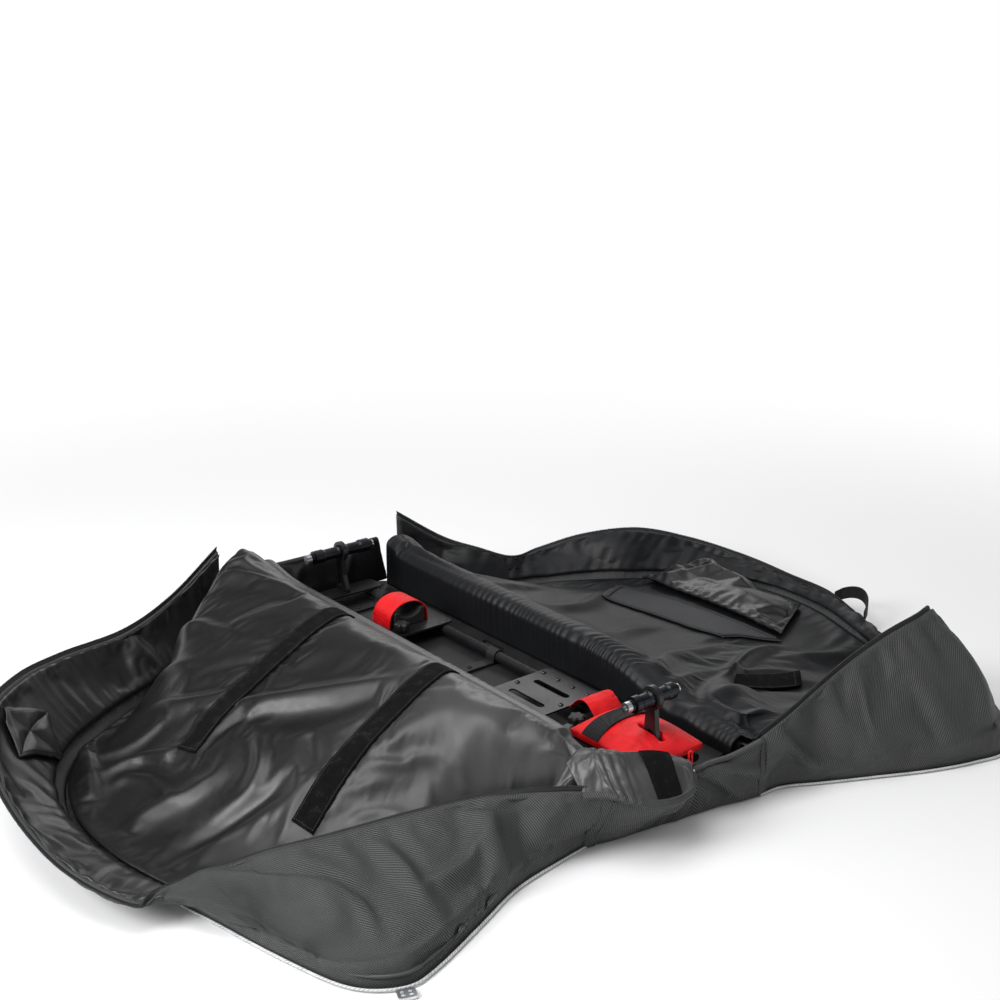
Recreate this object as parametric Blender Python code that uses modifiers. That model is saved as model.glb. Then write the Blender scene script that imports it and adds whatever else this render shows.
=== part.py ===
"""Soft bike travel bag, lying open: a narrow wheeled tray with a frame mount, and two side halves folded out.

X runs from the rear to the front, Y to the far side and Z up. The bag stands on the floor at z = 0.
The near half lies at -Y and the far half at +Y. Each half turns about the top edge of its tray wall.
"""

import math

import bmesh
import bpy
import numpy as np
from mathutils import Matrix, Vector
from mathutils.bvhtree import BVHTree

mm = 0.001

# Driving dimensions of the whole bag
tray_length = 1000 * mm
tray_width = 291 * mm
tray_back_share = -0.53
tray_back = tray_back_share * tray_length
tray_floor = 60 * mm
hinge_height = 150 * mm
side_reach = 600 * mm
rim_height = 200 * mm
soft_gap = 0.5 * mm
rigid_gap = 0.3 * mm
weld_distance = 0.01 * mm
cast_height = 600 * mm
pivot_size = 50 * mm
sharp_angle = math.radians(35)
bevel_angle = math.radians(40)

# Cloth and padding
shell_cloth = 4 * mm
liner_padding = 10 * mm
gusset_cloth = 4 * mm
seam_bed = 6 * mm
shell_gap = 1.7 * mm
liner_inset = 13 * mm
liner_clear = 2.5 * mm
fold_lead = 10 * mm
corner_gap = 4.0 * mm
foot_rise = 24 * mm
gusset_bulge = 12 * mm
gusset_row_shares = (0.2, 0.4, 0.6, 0.8, 1.0)
lay_rounds = 3
lay_samples = 8
lay_gap = 0.6 * mm
tape_radius = 3 * mm
tape_gap = 1.3 * mm
tape_corner_lift = 5.0 * mm
piping_radius = 2.2 * mm
piping_gap = 0.55 * mm
piping_corner_lead = 1.8 * mm

# Tray of board, cover and walls
board_thickness = 6 * mm
board_corner = 32 * mm
cover_cloth = 2.5 * mm
cover_overhang = 4 * mm
wall_padding = 20 * mm
wall_round = 5 * mm
hinge_inset = 5.5 * mm
hinge_y = tray_width / 2 - hinge_inset
board_top = tray_floor + board_thickness
tray_front = tray_back + tray_length
tray_middle = (tray_back + tray_front) / 2

# Frame rails
rail_radius = 10 * mm
rail_spread = 60 * mm
rail_lift = 4 * mm
rail_back_setback = 40 * mm
rail_front_setback = 30 * mm
rail_back = tray_back + rail_back_setback
rail_front = tray_front - rail_front_setback
rail_z = board_top + rail_lift + rail_radius
rail_top = rail_z + rail_radius + rigid_gap


def clear_scene():
    for obj in list(bpy.data.objects):
        bpy.data.objects.remove(obj, do_unlink=True)


def new_collection(name):
    collection = bpy.data.collections.new(name)
    bpy.context.scene.collection.children.link(collection)
    return collection


def linear(value):
    return value / 12.92 if value <= 0.04045 else ((value + 0.055) / 1.055) ** 2.4


def finish(name, hex_colour, roughness, metallic=0.0):
    """A Principled material from an sRGB colour."""
    if name in bpy.data.materials:
        return bpy.data.materials[name]
    material = bpy.data.materials.new(name)
    material.use_nodes = True
    shader = material.node_tree.nodes["Principled BSDF"]
    channels = [linear(int(hex_colour[i : i + 2], 16) / 255) for i in (0, 2, 4)]
    shader.inputs["Base Color"].default_value = (*channels, 1.0)
    shader.inputs["Roughness"].default_value = roughness
    shader.inputs["Metallic"].default_value = metallic
    return material


def twill_shell():
    return finish("twill_shell", "2B2C2E", 0.75)


def padded_lining():
    return finish("padded_lining", "1B1C1E", 0.38)


def matte_lining():
    return finish("matte_lining", "2E2F33", 0.6)


def loop_tape():
    return finish("loop_tape", "151516", 0.95)


def red_nylon():
    return finish("red_nylon", "E0251E", 0.55)


def black_steel():
    return finish("black_steel", "161718", 0.42, 0.9)


def bright_steel():
    return finish("bright_steel", "C9CBCE", 0.25, 1.0)


def anodised_black():
    return finish("anodised_black", "1C1D1F", 0.32, 0.8)


def moulded_black():
    return finish("moulded_black", "1A1A1B", 0.5)


def wheel_rubber():
    return finish("wheel_rubber", "242425", 0.7)


def piping_white():
    return finish("piping_white", "D8D9DA", 0.4)


def pocket_mesh():
    return finish("pocket_mesh", "1E1F20", 0.85)


def link(obj, material, parent):
    """Files an object under the bag, gives it its material and carries it on its parent."""
    for old in list(obj.users_collection):
        old.objects.unlink(obj)
    bag.objects.link(obj)
    obj.data.materials.clear()
    obj.data.materials.append(material)
    carry(obj, parent)
    return obj


def carry(obj, parent):
    bpy.context.view_layer.update()
    obj.parent = parent
    obj.matrix_parent_inverse = parent.matrix_world.inverted()


def pivot(name, place, parent=None):
    """An empty on a joint's axis, which carries the pieces that turn or slide there."""
    empty = bpy.data.objects.new(name, None)
    bag.objects.link(empty)
    empty.location = place
    empty.empty_display_size = pivot_size
    if parent:
        carry(empty, parent)
    return empty


def object_from(bm, name, material, parent, smooth=True):
    """Makes an object of a mesh, with its normals facing out and its sharp edges kept."""
    mesh = bpy.data.meshes.new(name)
    bmesh.ops.recalc_face_normals(bm, faces=bm.faces[:])
    bm.to_mesh(mesh)
    bm.free()
    obj = bpy.data.objects.new(name, mesh)
    bag.objects.link(obj)
    if smooth:
        mesh.shade_smooth()
        mesh.set_sharp_from_angle(angle=sharp_angle)
    return link(obj, material, parent)


def bevel(obj, width):
    modifier = obj.modifiers.new("rounded_edges", "BEVEL")
    modifier.width = width
    modifier.segments = 2
    modifier.limit_method = "ANGLE"
    modifier.angle_limit = bevel_angle
    return obj


def box_into(bm, low, high):
    """Adds a box between two corners to a mesh."""
    made = bmesh.ops.create_cube(bm, size=1)["verts"]
    size = [b - a for a, b in zip(low, high)]
    middle = [(a + b) / 2 for a, b in zip(low, high)]
    bmesh.ops.scale(bm, vec=size, verts=made)
    bmesh.ops.translate(bm, vec=middle, verts=made)
    return made


def box(name, low, high, material, parent, round_width=0.0):
    bm = bmesh.new()
    box_into(bm, low, high)
    obj = object_from(bm, name, material, parent)
    return bevel(obj, round_width) if round_width else obj


def cylinder_into(bm, centre, axis, radius, length, sides):
    """Adds a closed cylinder, middle at centre, to a mesh."""
    cone = {"cap_ends": True, "segments": sides, "radius1": radius, "radius2": radius, "depth": length}
    made = bmesh.ops.create_cone(bm, **cone)["verts"]
    turn = Vector((0, 0, 1)).rotation_difference(Vector(axis)).to_matrix().to_4x4()
    bmesh.ops.transform(bm, matrix=Matrix.Translation(centre) @ turn, verts=made)
    return made


def turned(name, profile, centre, axis, material, parent, sides=20):
    """A closed profile of (radius, height) points, given as it runs round, turned about an axis."""
    bm = bmesh.new()
    points = [bm.verts.new((radius, 0, height)) for radius, height in profile]
    loop = [bm.edges.new((a, b)) for a, b in zip(points, points[1:] + points[:1])]
    bmesh.ops.spin(
        bm,
        geom=points + loop,
        cent=(0, 0, 0),
        axis=(0, 0, 1),
        angle=math.tau,
        steps=sides,
        use_merge=True,
    )
    bmesh.ops.remove_doubles(bm, verts=bm.verts[:], dist=weld_distance)
    turn = Vector((0, 0, 1)).rotation_difference(Vector(axis)).to_matrix().to_4x4()
    bmesh.ops.transform(bm, matrix=Matrix.Translation(centre) @ turn, verts=bm.verts[:])
    return object_from(bm, name, material, parent)


def tube(name, points, radius, material, parent, resolution=1, cyclic=False):
    """A rod or cord along points, with filled ends."""
    curve = bpy.data.curves.new(name, "CURVE")
    curve.dimensions = "3D"
    curve.bevel_depth = radius
    curve.bevel_resolution = resolution
    curve.use_fill_caps = not cyclic
    spline = curve.splines.new("POLY")
    spline.use_cyclic_u = cyclic
    spline.points.add(len(points) - 1)
    for target, point in zip(spline.points, points):
        target.co = (*point, 1.0)
    obj = bpy.data.objects.new(name, curve)
    bag.objects.link(obj)
    return link(obj, material, parent)


def plate(name, outline, holes, low, thickness, material, parent, plane="XY", round_width=0.0):
    """A flat plate cut to an outline with holes. In plane XZ the thickness runs along Y."""
    curve = bpy.data.curves.new(name, "CURVE")
    curve.dimensions = "2D"
    curve.fill_mode = "BOTH"
    curve.extrude = thickness / 2 - round_width
    curve.bevel_depth = round_width
    curve.bevel_resolution = 0
    curve.offset = -round_width
    for ring in [outline, *holes]:
        spline = curve.splines.new("POLY")
        spline.points.add(len(ring) - 1)
        spline.use_cyclic_u = True
        for target, (a, b) in zip(spline.points, ring):
            target.co = (a, b, 0, 1)
    obj = bpy.data.objects.new(name, curve)
    bag.objects.link(obj)
    if plane == "XZ":
        obj.rotation_euler = (math.pi / 2, 0, 0)
        obj.location = (0, low + thickness / 2, 0)
    else:
        obj.location = (0, 0, low + thickness / 2)
    return link(obj, material, parent)


def rounded(low, high, radius, steps=4):
    """The outline of a rounded rectangle."""
    corners = (
        (high[0] - radius, high[1] - radius, 0),
        (low[0] + radius, high[1] - radius, 1),
        (low[0] + radius, low[1] + radius, 2),
        (high[0] - radius, low[1] + radius, 3),
    )
    ring = []
    for x, y, quarter in corners:
        for step in range(steps + 1):
            angle = (quarter + step / steps) * math.pi / 2
            ring.append((x + radius * math.cos(angle), y + radius * math.sin(angle)))
    return ring


def circle(x, y, radius, sides=16):
    angles = [math.tau * k / sides for k in range(sides)]
    return [(x + radius * math.cos(a), y + radius * math.sin(a)) for a in angles]


def sheet(name, rows, shift, thickness, material, parent, centred=False):
    """Cloth on a grid of points: the grid is moved by shift along its normals, then given its thickness."""
    bm = bmesh.new()
    grid = [[bm.verts.new(point) for point in row] for row in rows]
    for row, following in zip(grid, grid[1:]):
        for k in range(len(row) - 1):
            bm.faces.new((row[k], row[k + 1], following[k + 1], following[k]))
    bm.normal_update()
    if sum(face.normal.z * face.calc_area() for face in bm.faces) < 0:
        bmesh.ops.reverse_faces(bm, faces=bm.faces[:])
    bm.normal_update()
    for vert in bm.verts:
        vert.co += vert.normal * shift
    mesh = bpy.data.meshes.new(name)
    bm.to_mesh(mesh)
    bm.free()
    mesh.shade_smooth()
    obj = bpy.data.objects.new(name, mesh)
    bag.objects.link(obj)
    solid = obj.modifiers.new("cloth_thickness", "SOLIDIFY")
    solid.thickness = thickness
    solid.offset = 0 if centred else 1
    return link(obj, material, parent)


def height_over(*hosts):
    """A function that gives the top of pieces of cloth at a place in plan, or None beside them."""
    bpy.context.view_layer.update()
    graph = bpy.context.evaluated_depsgraph_get()
    trees = [BVHTree.FromObject(host, graph) for host in hosts]

    def height(x, y):
        hits = [tree.ray_cast(Vector((x, y, cast_height)), Vector((0, 0, -1)))[0] for tree in trees]
        tops = [hit.z for hit in hits if hit is not None]
        return max(tops) if tops else None

    return height


def lowest_over(*hosts):
    """A function that gives the lowest level of pieces of cloth over a place in plan, or None beside them."""
    bpy.context.view_layer.update()
    graph = bpy.context.evaluated_depsgraph_get()
    trees = [BVHTree.FromObject(host, graph) for host in hosts]

    def height(x, y):
        hits = [tree.ray_cast(Vector((x, y, foot_rise / 2)), Vector((0, 0, 1)))[0] for tree in trees]
        levels = [hit.z for hit in hits if hit is not None]
        return min(levels) if levels else None

    return height


def lerp(a, b, share):
    return a + (b - a) * share


def smooth_step(value):
    value = min(max(value, 0.0), 1.0)
    return value * value * (3 - 2 * value)


def laid(hosts, corners, counts, crown=0.0):
    """The grid of a flat piece sewn on cloth: four plan corners, laid clear of all of its hosts."""
    height = height_over(*hosts)
    (ax, ay), (bx, by), (cx, cy), (dx, dy) = corners

    def plan(u, v):
        return (
            lerp(lerp(ax, bx, u), lerp(dx, cx, u), v),
            lerp(lerp(ay, by, u), lerp(dy, cy, u), v),
        )

    shares = [[(i / counts[0], k / counts[1]) for k in range(counts[1] + 1)] for i in range(counts[0] + 1)]
    rows = [[Vector((*plan(u, v), height(*plan(u, v)) or 0.0)) for u, v in row] for row in shares]
    keep_clear(height, rows, lay_gap)
    for row, places in zip(rows, shares):
        for spot, (u, v) in zip(row, places):
            spot.z += crown * math.sin(math.pi * u) * math.sin(math.pi * v)
    return rows


def cell_samples(first, second, third, fourth):
    """Points on a grid cell, split along either diagonal, whichever way it is cut into triangles."""
    found = []
    for step in range(lay_samples * lay_samples):
        a = (step % lay_samples) / (lay_samples - 1)
        b = (step // lay_samples) / (lay_samples - 1)
        if a >= b:
            found.append(first + (second - first) * a + (fourth - second) * b)
        else:
            found.append(first + (third - first) * b + (fourth - third) * a)
        if a + b <= 1:
            found.append(first + (second - first) * a + (third - first) * b)
        else:
            found.append(fourth + (third - fourth) * (1 - a) + (second - fourth) * (1 - b))
    return found


def keep_clear(height, rows, clear, way=1, lowest=0.0):
    """Raises a grid clear of the cloth under it or, with way -1, lowers it clear of the cloth over it."""
    for _ in range(lay_rounds):
        for row, following in zip(rows, rows[1:]):
            for k in range(len(row) - 1):
                corners = (row[k], row[k + 1], following[k], following[k + 1])
                short = 0.0
                for spot in cell_samples(*corners):
                    level = height(spot.x, spot.y)
                    if level is not None:
                        short = max(short, clear - way * (spot.z - level))
                for corner in corners:
                    corner.z = max(corner.z + way * short, lowest)


def patch(name, hosts, corners, counts, thickness, material, parent, crown=0.0):
    return sheet(name, laid(hosts, corners, counts, crown), 0.0, thickness, material, parent)


def slab_into(bm, ring, low, high, along):
    """Adds a solid of one outline between two levels along axis 0 (ring in y, z) or axis 1 (ring in x, z)."""
    ends = []
    for level in (low, high):
        spots = [(level, a, b) if along == 0 else (a, level, b) for a, b in ring]
        ends.append([bm.verts.new(spot) for spot in spots])
    count = len(ring)
    for k in range(count):
        after = (k + 1) % count
        bm.faces.new((ends[0][k], ends[0][after], ends[1][after], ends[1][k]))
    bm.faces.new(ends[0])
    bm.faces.new(ends[1][::-1])


def stacked(bm, rings):
    """Adds a closed solid through a stack of rings with equal numbers of points."""
    made = [[bm.verts.new(spot) for spot in ring] for ring in rings]
    for ring, following in zip(made, made[1:]):
        for k in range(len(ring)):
            after = (k + 1) % len(ring)
            bm.faces.new((ring[k], ring[after], following[after], following[k]))
    bm.faces.new(made[0][::-1])
    bm.faces.new(made[-1])


def as_mesh(obj):
    """Replaces a curve object by its welded mesh, which a Boolean can take."""
    bpy.context.view_layer.update()
    graph = bpy.context.evaluated_depsgraph_get()
    mesh = bpy.data.meshes.new_from_object(obj.evaluated_get(graph))
    name, material, parent, place = obj.name, obj.data.materials[0], obj.parent, obj.matrix_world.copy()
    bpy.data.objects.remove(obj, do_unlink=True)
    bm = bmesh.new()
    bm.from_mesh(mesh)
    bmesh.ops.transform(bm, matrix=place, verts=bm.verts[:])
    bmesh.ops.remove_doubles(bm, verts=bm.verts[:], dist=weld_distance)
    return object_from(bm, name, material, parent, False)


def helper(obj):
    """Files an object among the cutters, out of the render."""
    bag.objects.unlink(obj)
    cutters.objects.link(obj)
    obj.hide_render = True
    obj.display_type = "WIRE"
    return obj


def combine(obj, other, operation):
    modifier = obj.modifiers.new(other.name, "BOOLEAN")
    modifier.operation = operation
    modifier.solver = "EXACT"
    modifier.object = other
    return obj


# Side halves. Plan places run from the tray's front corner round the outside to its rear corner.
# Each row is the seam's x, its reach, the rim's x, its reach and the rim's height. The x shares are of the
# tray's length, the reach shares of side_reach out from the hinge, and the height shares of rim_height.
near_place_shares = (
    (0.432, 0.03, 0.478, 0.03, 0.54),
    (0.440, 0.15, 0.430, 0.12, 0.55),
    (0.455, 0.30, 0.360, 0.27, 0.51),
    (0.490, 0.45, 0.315, 0.45, 0.46),
    (0.530, 0.63, 0.275, 0.63, 0.40),
    (0.535, 0.72, 0.245, 0.75, 0.36),
    (0.490, 0.81, 0.225, 0.84, 0.31),
    (0.380, 0.87, 0.212, 0.92, 0.27),
    (0.250, 0.92, 0.205, 1.01, 0.24),
    (0.150, 0.96, 0.205, 1.08, 0.20),
    (0.030, 1.00, 0.080, 1.17, 0.32),
    (-0.100, 1.00, -0.090, 1.19, 0.55),
    (-0.220, 0.94, -0.250, 1.12, 0.75),
    (-0.310, 0.83, -0.370, 0.96, 0.72),
    (-0.370, 0.69, -0.455, 0.77, 0.62),
    (-0.430, 0.52, -0.510, 0.53, 0.56),
    (-0.500, 0.33, -0.555, 0.33, 0.68),
    (-0.540, 0.13, -0.580, 0.14, 1.00),
)
near_hinge_shares = (
    0.42, 0.39, 0.36, 0.32, 0.27, 0.22, 0.16, 0.10, 0.05,
    0.0, -0.06, -0.14, -0.24, -0.33, -0.40, -0.45, -0.49, -0.52,
)
near_corner_index = 8
far_place_shares = (
    (0.495, 0.03, 0.497, 0.03, 0.53),
    (0.500, 0.11, 0.503, 0.13, 0.65),
    (0.535, 0.22, 0.503, 0.25, 0.78),
    (0.575, 0.35, 0.502, 0.38, 0.90),
    (0.620, 0.50, 0.508, 0.52, 1.02),
    (0.650, 0.64, 0.515, 0.64, 1.09),
    (0.660, 0.75, 0.510, 0.72, 1.10),
    (0.610, 0.86, 0.470, 0.81, 0.78),
    (0.500, 0.93, 0.400, 0.92, 0.46),
    (0.360, 0.97, 0.290, 1.03, 0.22),
    (0.220, 1.04, 0.200, 1.12, 0.16),
    (0.080, 1.12, 0.080, 1.19, 0.19),
    (-0.050, 1.13, -0.050, 1.20, 0.21),
    (-0.160, 1.07, -0.180, 1.18, 0.26),
    (-0.250, 0.93, -0.275, 1.09, 0.37),
    (-0.320, 0.78, -0.345, 0.93, 0.50),
    (-0.370, 0.65, -0.420, 0.77, 0.43),
    (-0.410, 0.52, -0.465, 0.61, 0.31),
    (-0.440, 0.38, -0.470, 0.48, 0.31),
    (-0.460, 0.27, -0.495, 0.36, 0.45),
    (-0.500, 0.17, -0.535, 0.25, 0.60),
    (-0.530, 0.07, -0.560, 0.09, 0.95),
)
far_hinge_shares = (
    0.46, 0.44, 0.42, 0.39, 0.36, 0.32, 0.27, 0.22, 0.17, 0.11, 0.05,
    -0.01, -0.07, -0.13, -0.20, -0.27, -0.33, -0.38, -0.42, -0.45, -0.48, -0.50,
)
far_corner_index = 6
row_shares = (0.0, 0.03, 0.10, 0.22, 0.40, 0.60, 0.80, 0.95, 1.0)
profile_reach_shares = (0.0, 0.03, 0.10, 0.25, 0.45, 0.65, 0.85, 1.1)
near_profile_shares = (0.75, 0.78, 0.94, 0.86, 0.66, 0.44, 0.25, 0.09)
far_profile_shares = (0.75, 0.74, 0.58, 0.35, 0.22, 0.15, 0.11, 0.08)
rim_line_points = (0, 1, 2, 3, 4, 6, 9)
rim_line_shares = (0.0, 0.10, 0.27, 0.45, 0.63, 0.84, 1.1)
settle_start_share = 0.60
settle_run_share = 0.32
front_drop_share = 0.45
front_drop_run = 140 * mm
front_drop_start = 125 * mm
rear_corner_rise = 34 * mm
rear_corner_run = 75 * mm
rear_corner_reach = 70 * mm
rear_corner_lead = 20 * mm
rear_corner_x = tray_back - rear_corner_lead
rear_corner_run_across = 75 * mm
ridge_run = 130 * mm
far_ridge_x_shares = (0.13, 0.20, 0.26, 0.325, 0.39, 0.46)
far_ridge_height_shares = (0.75, 0.71, 0.60, 0.51, 0.45, 0.43)


def place(side, x_share, reach_share, height_share=0.0):
    """A point of a half from its shares. Side is -1 for the near half and 1 for the far one."""
    reach = hinge_y + reach_share * side_reach
    return Vector((x_share * tray_length, side * reach, height_share * rim_height))


def outward_in_plan(points):
    """The outward direction in plan at each point of a seam that runs from the front to the rear."""
    found = []
    for k, point in enumerate(points):
        before = points[max(k - 1, 0)]
        after = points[min(k + 1, len(points) - 1)]
        along = (after - before).normalized()
        side = math.copysign(1.0, point.y)
        found.append(Vector((along.y * -side, along.x * side, 0)).normalized() * -1)
    return found


def squareness(points, k, away):
    """The cosine of the larger angle between the outward direction at a seam's point and its edges."""
    found = []
    for a, b in ((k - 1, k), (k, k + 1)):
        if 0 <= a and b < len(points):
            along = (points[b] - points[a]).normalized()
            found.append(abs(away.x * along.y - away.y * along.x))
    return min(found)


def ridge_height(side, x):
    """Height of a half's inner edge. The far one sinks towards the front."""
    if side < 0:
        return hinge_height
    return float(np.interp(x / tray_length, far_ridge_x_shares, far_ridge_height_shares)) * rim_height


def panel_height(side, profile, rims, x, y):
    """Height of the underside of a padded side panel's liner over a place in plan."""
    reach = max(side * y - hinge_y, 0.0) / side_reach
    level = float(np.interp(reach, profile_reach_shares, profile)) * rim_height
    if side < 0:
        rim_x = float(np.interp(reach, rim_line_shares, rims))
        drop = smooth_step((x - rim_x + front_drop_start) / front_drop_run)
        start = smooth_step(reach * side_reach / wall_padding)
        level = level * (1 - front_drop_share * drop * start)
    level -= (hinge_height - ridge_height(side, x)) * (1 - smooth_step(reach * side_reach / ridge_run))
    rear = (x - rear_corner_x) / rear_corner_run
    across = (reach * side_reach - rear_corner_reach) / rear_corner_run_across
    return level + rear_corner_rise * math.exp(-rear * rear - across * across)


def gusset_section(low, high, away):
    """A gusset from its seam on the floor up to its rim, with a slight outward belly."""
    section = [low.copy(), low + Vector((0, 0, foot_rise))]
    for share in gusset_row_shares:
        spot = section[1].lerp(high, share)
        section.append(spot + away * math.sin(math.pi * share) * gusset_bulge)
    return section


def drawn_back(section, towards):
    """A gusset's end, drawn back from the corner that it shares with the other gusset."""
    return [spot + (other - spot).normalized() * corner_gap for spot, other in zip(section, towards)]


def make_half(side, label, places, hinges, profile, corner, material, parent):
    """Shell, liner, gussets, zip tape and piping of one side half."""
    seam = [place(side, p[0], p[1]) for p in places]
    rim = [place(side, p[2], p[3], p[4]) for p in places]
    out = outward_in_plan(seam)
    inset = gusset_cloth / 2 + soft_gap
    rim_line = [rim[k].x for k in rim_line_points]

    sections = [gusset_section(low, high, away) for low, high, away in zip(seam, rim, out)]
    front = sections[:corner] + [drawn_back(sections[corner], sections[corner - 1])]
    top = [drawn_back(sections[corner], sections[corner + 1])] + sections[corner + 1 :]
    gussets = []
    for name, part_of_rim in (("front_gusset", front), ("top_gusset", top)):
        rows = [list(row) for row in zip(*part_of_rim)]
        gussets.append(sheet(f"{label}_{name}", rows, 0.0, gusset_cloth, twill_shell(), parent, True))
    height = lowest_over(*gussets)
    rows = []
    for share in row_shares:
        row = []
        for k, hinge_share in enumerate(hinges):
            start = Vector((hinge_share * tray_length, side * (hinge_y + fold_lead), 0))
            end = seam[k] - out[k] * liner_inset
            spot = start.lerp(end, share)
            level = panel_height(side, profile, rim_line, spot.x, spot.y)
            settle = smooth_step((share - settle_start_share) / settle_run_share)
            row.append(Vector((spot.x, spot.y, lerp(level, seam_bed, settle))))
        rows.append(row)
    keep_clear(height, rows, gusset_cloth / 2 + liner_padding + liner_clear, -1, seam_bed)
    liner = sheet(f"{label}_liner", rows, 0.0, liner_padding, material, parent)
    fold = [Vector((spot.x, side * hinge_y, ridge_height(side, spot.x))) for spot in rows[0]]
    foot = [low - away * inset + Vector((0, 0, seam_bed)) for low, away in zip(seam, out)]
    rows = [fold, *rows, foot]
    sheet(f"{label}_shell", rows, -shell_gap - shell_cloth, shell_cloth, twill_shell(), parent)

    tape = []
    for k, section in enumerate(sections):
        before = sections[max(k - 1, 0)][-1]
        after = sections[min(k + 1, len(sections) - 1)][-1]
        along = (after - before).normalized()
        edge = section[-1] - section[-2]
        edge -= along * edge.dot(along)
        lift = tape_corner_lift if abs(k - corner) < 2 else 0.0
        tape.append(section[-1] + edge.normalized() * (tape_radius + tape_gap + lift))
    tube(f"{label}_zip_tape", tape, tape_radius, moulded_black(), parent)
    cord = []
    for k, (low, away) in enumerate(zip(seam, out)):
        lead = (gusset_cloth / 2 + piping_gap + piping_radius) / squareness(seam, k, away)
        lead += piping_corner_lead if k == corner else 0.0
        cord.append(low + away * lead + Vector((0, 0, piping_radius)))
    tube(f"{label}_piping", cord, piping_radius, piping_white(), parent)
    return liner, gussets[1]


strip_cloth = 2.4 * mm
near_strip_width = 42 * mm
near_strip_rear_shares = ((-0.190, 0.060), (-0.085, 0.690))
near_strip_front_shares = ((0.115, 0.060), (0.215, 0.640))
tab_corner_shares = ((-0.33, 0.88), (-0.26, 1.01), (-0.19, 1.02), (-0.25, 0.84))
flap_corner_shares = ((0.05, 1.09), (-0.22, 1.06), (-0.27, 0.84), (0.13, 0.83))
mesh_corner_shares = ((0.15, 0.80), (0.10, 0.60), (-0.20, 0.53), (-0.29, 0.74))
far_strip_shares = ((0.345, 0.50), (0.31, 0.56), (0.265, 0.29), (0.30, 0.26))
near_buckle_index = 5
buckle_length = 26 * mm
buckle_width = 20 * mm
buckle_thickness = 4 * mm
buckle_wire = 4.5 * mm
buckle_gap = 1.0 * mm
buckle_window_round = 1.5 * mm
tab_padding = 7 * mm
flap_padding = 6 * mm
flap_crown = 12 * mm
mesh_thickness = 1.6 * mm


def in_plan(side, shares):
    spot = place(side, *shares)
    return (spot.x, spot.y)


def ribbon_corners(side, ends, width):
    """The four plan corners of a strip of one width between two places."""
    start = Vector(in_plan(side, ends[0]))
    end = Vector(in_plan(side, ends[1]))
    along = (end - start).normalized()
    across = Vector((-along.y, along.x)) * width / 2
    return [tuple(start + across), tuple(end + across), tuple(end - across), tuple(start - across)]


def near_half(parent):
    shares = (near_place_shares, near_hinge_shares, near_profile_shares)
    liner, top = make_half(-1, "near", *shares, near_corner_index, padded_lining(), parent)
    strips = {"near_rear_strip": near_strip_rear_shares, "near_front_strip": near_strip_front_shares}
    for name, ends in strips.items():
        corners = ribbon_corners(-1, ends, near_strip_width)
        patch(name, [liner], corners, (14, 2), strip_cloth, loop_tape(), parent)
    corners = [in_plan(-1, shares) for shares in tab_corner_shares]
    patch("near_corner_tab", [liner, top], corners, (5, 3), tab_padding, padded_lining(), parent)
    seam = [place(-1, p[0], p[1]) for p in near_place_shares]
    away = outward_in_plan(seam)[near_buckle_index]
    clear = gusset_cloth / 2 + 2 * piping_radius + buckle_gap
    spot = seam[near_buckle_index] + away * (clear + buckle_width / 2)
    along = Vector((-away.y, away.x, 0))

    def turned_in_plan(ring):
        return [tuple((spot + away * a + along * b).xy) for a, b in ring]

    half = (buckle_width / 2, buckle_length / 2)
    frame = turned_in_plan(rounded((-half[0], -half[1]), half, buckle_wire))
    windows = []
    for way in (-1, 1):
        ends = sorted((way * buckle_wire / 2, way * (half[1] - buckle_wire)))
        low = (buckle_wire - half[0], ends[0])
        high = (half[0] - buckle_wire, ends[1])
        windows.append(turned_in_plan(rounded(low, high, buckle_window_round, 2)))
    plate("near_buckle", frame, windows, 0.0, buckle_thickness, bright_steel(), parent)


def far_half(parent):
    shares = (far_place_shares, far_hinge_shares, far_profile_shares)
    liner, top = make_half(1, "far", *shares, far_corner_index, matte_lining(), parent)
    corners = [in_plan(1, shares) for shares in mesh_corner_shares]
    pocket = patch("far_mesh_pocket", [liner], corners, (6, 4), mesh_thickness, pocket_mesh(), parent)
    corners = [in_plan(1, shares) for shares in flap_corner_shares]
    hosts = [liner, pocket, top]
    patch("far_flap", hosts, corners, (8, 4), flap_padding, padded_lining(), parent, flap_crown)
    corners = [in_plan(1, shares) for shares in far_strip_shares]
    patch("far_front_strip", [liner], corners, (5, 2), strip_cloth, loop_tape(), parent)


# Tray: a moulded board in a cloth cover, with padded walls on all four sides
board_inset = 0.5 * mm
board_setback = 22 * mm
board_front = tray_front - board_setback
cover_low = tray_floor - cover_cloth - rigid_gap
slot_width = 12 * mm
slot_length = 60 * mm
slot_spread = 104 * mm
slot_station_shares = (-0.30, -0.12, 0.30)
wall_low = board_top + rigid_gap
wall_drop = 6.2 * mm
wall_stations = 24
wall_ease = 20 * mm
near_wall_end_share = 0.378
far_wall_end_share = 0.432
end_wall_padding = 14 * mm
rear_wall_high = 165 * mm
rear_wall_inset = 5 * mm
rear_wall_round = 2.5 * mm
rear_wall_lean = 10 * mm
rear_wall_top_share = 0.9
front_wall_cloth = 6 * mm
front_wall_face_share = 0.75
cover_front_share = 0.98
# Each place of the front wall is its foot's x, its top's x, its y and its top's height, in the same shares
# as the side halves, except that y is of half the tray's width.
front_wall_shares = (
    (0.433, 0.478, -1.050, 0.51),
    (0.440, 0.504, -0.890, 0.46),
    (0.447, 0.520, -0.620, 0.44),
    (0.456, 0.516, -0.240, 0.44),
    (0.463, 0.492, -0.030, 0.42),
    (0.467, 0.470, 0.165, 0.39),
    (0.476, 0.484, 0.550, 0.43),
    (0.489, 0.494, 0.890, 0.49),
    (0.494, 0.496, 1.050, 0.51),
)
front_wall_row_shares = (0.0, 0.3, 0.6, 0.85, 1.0)
front_wall_foot = 2 * mm
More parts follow.
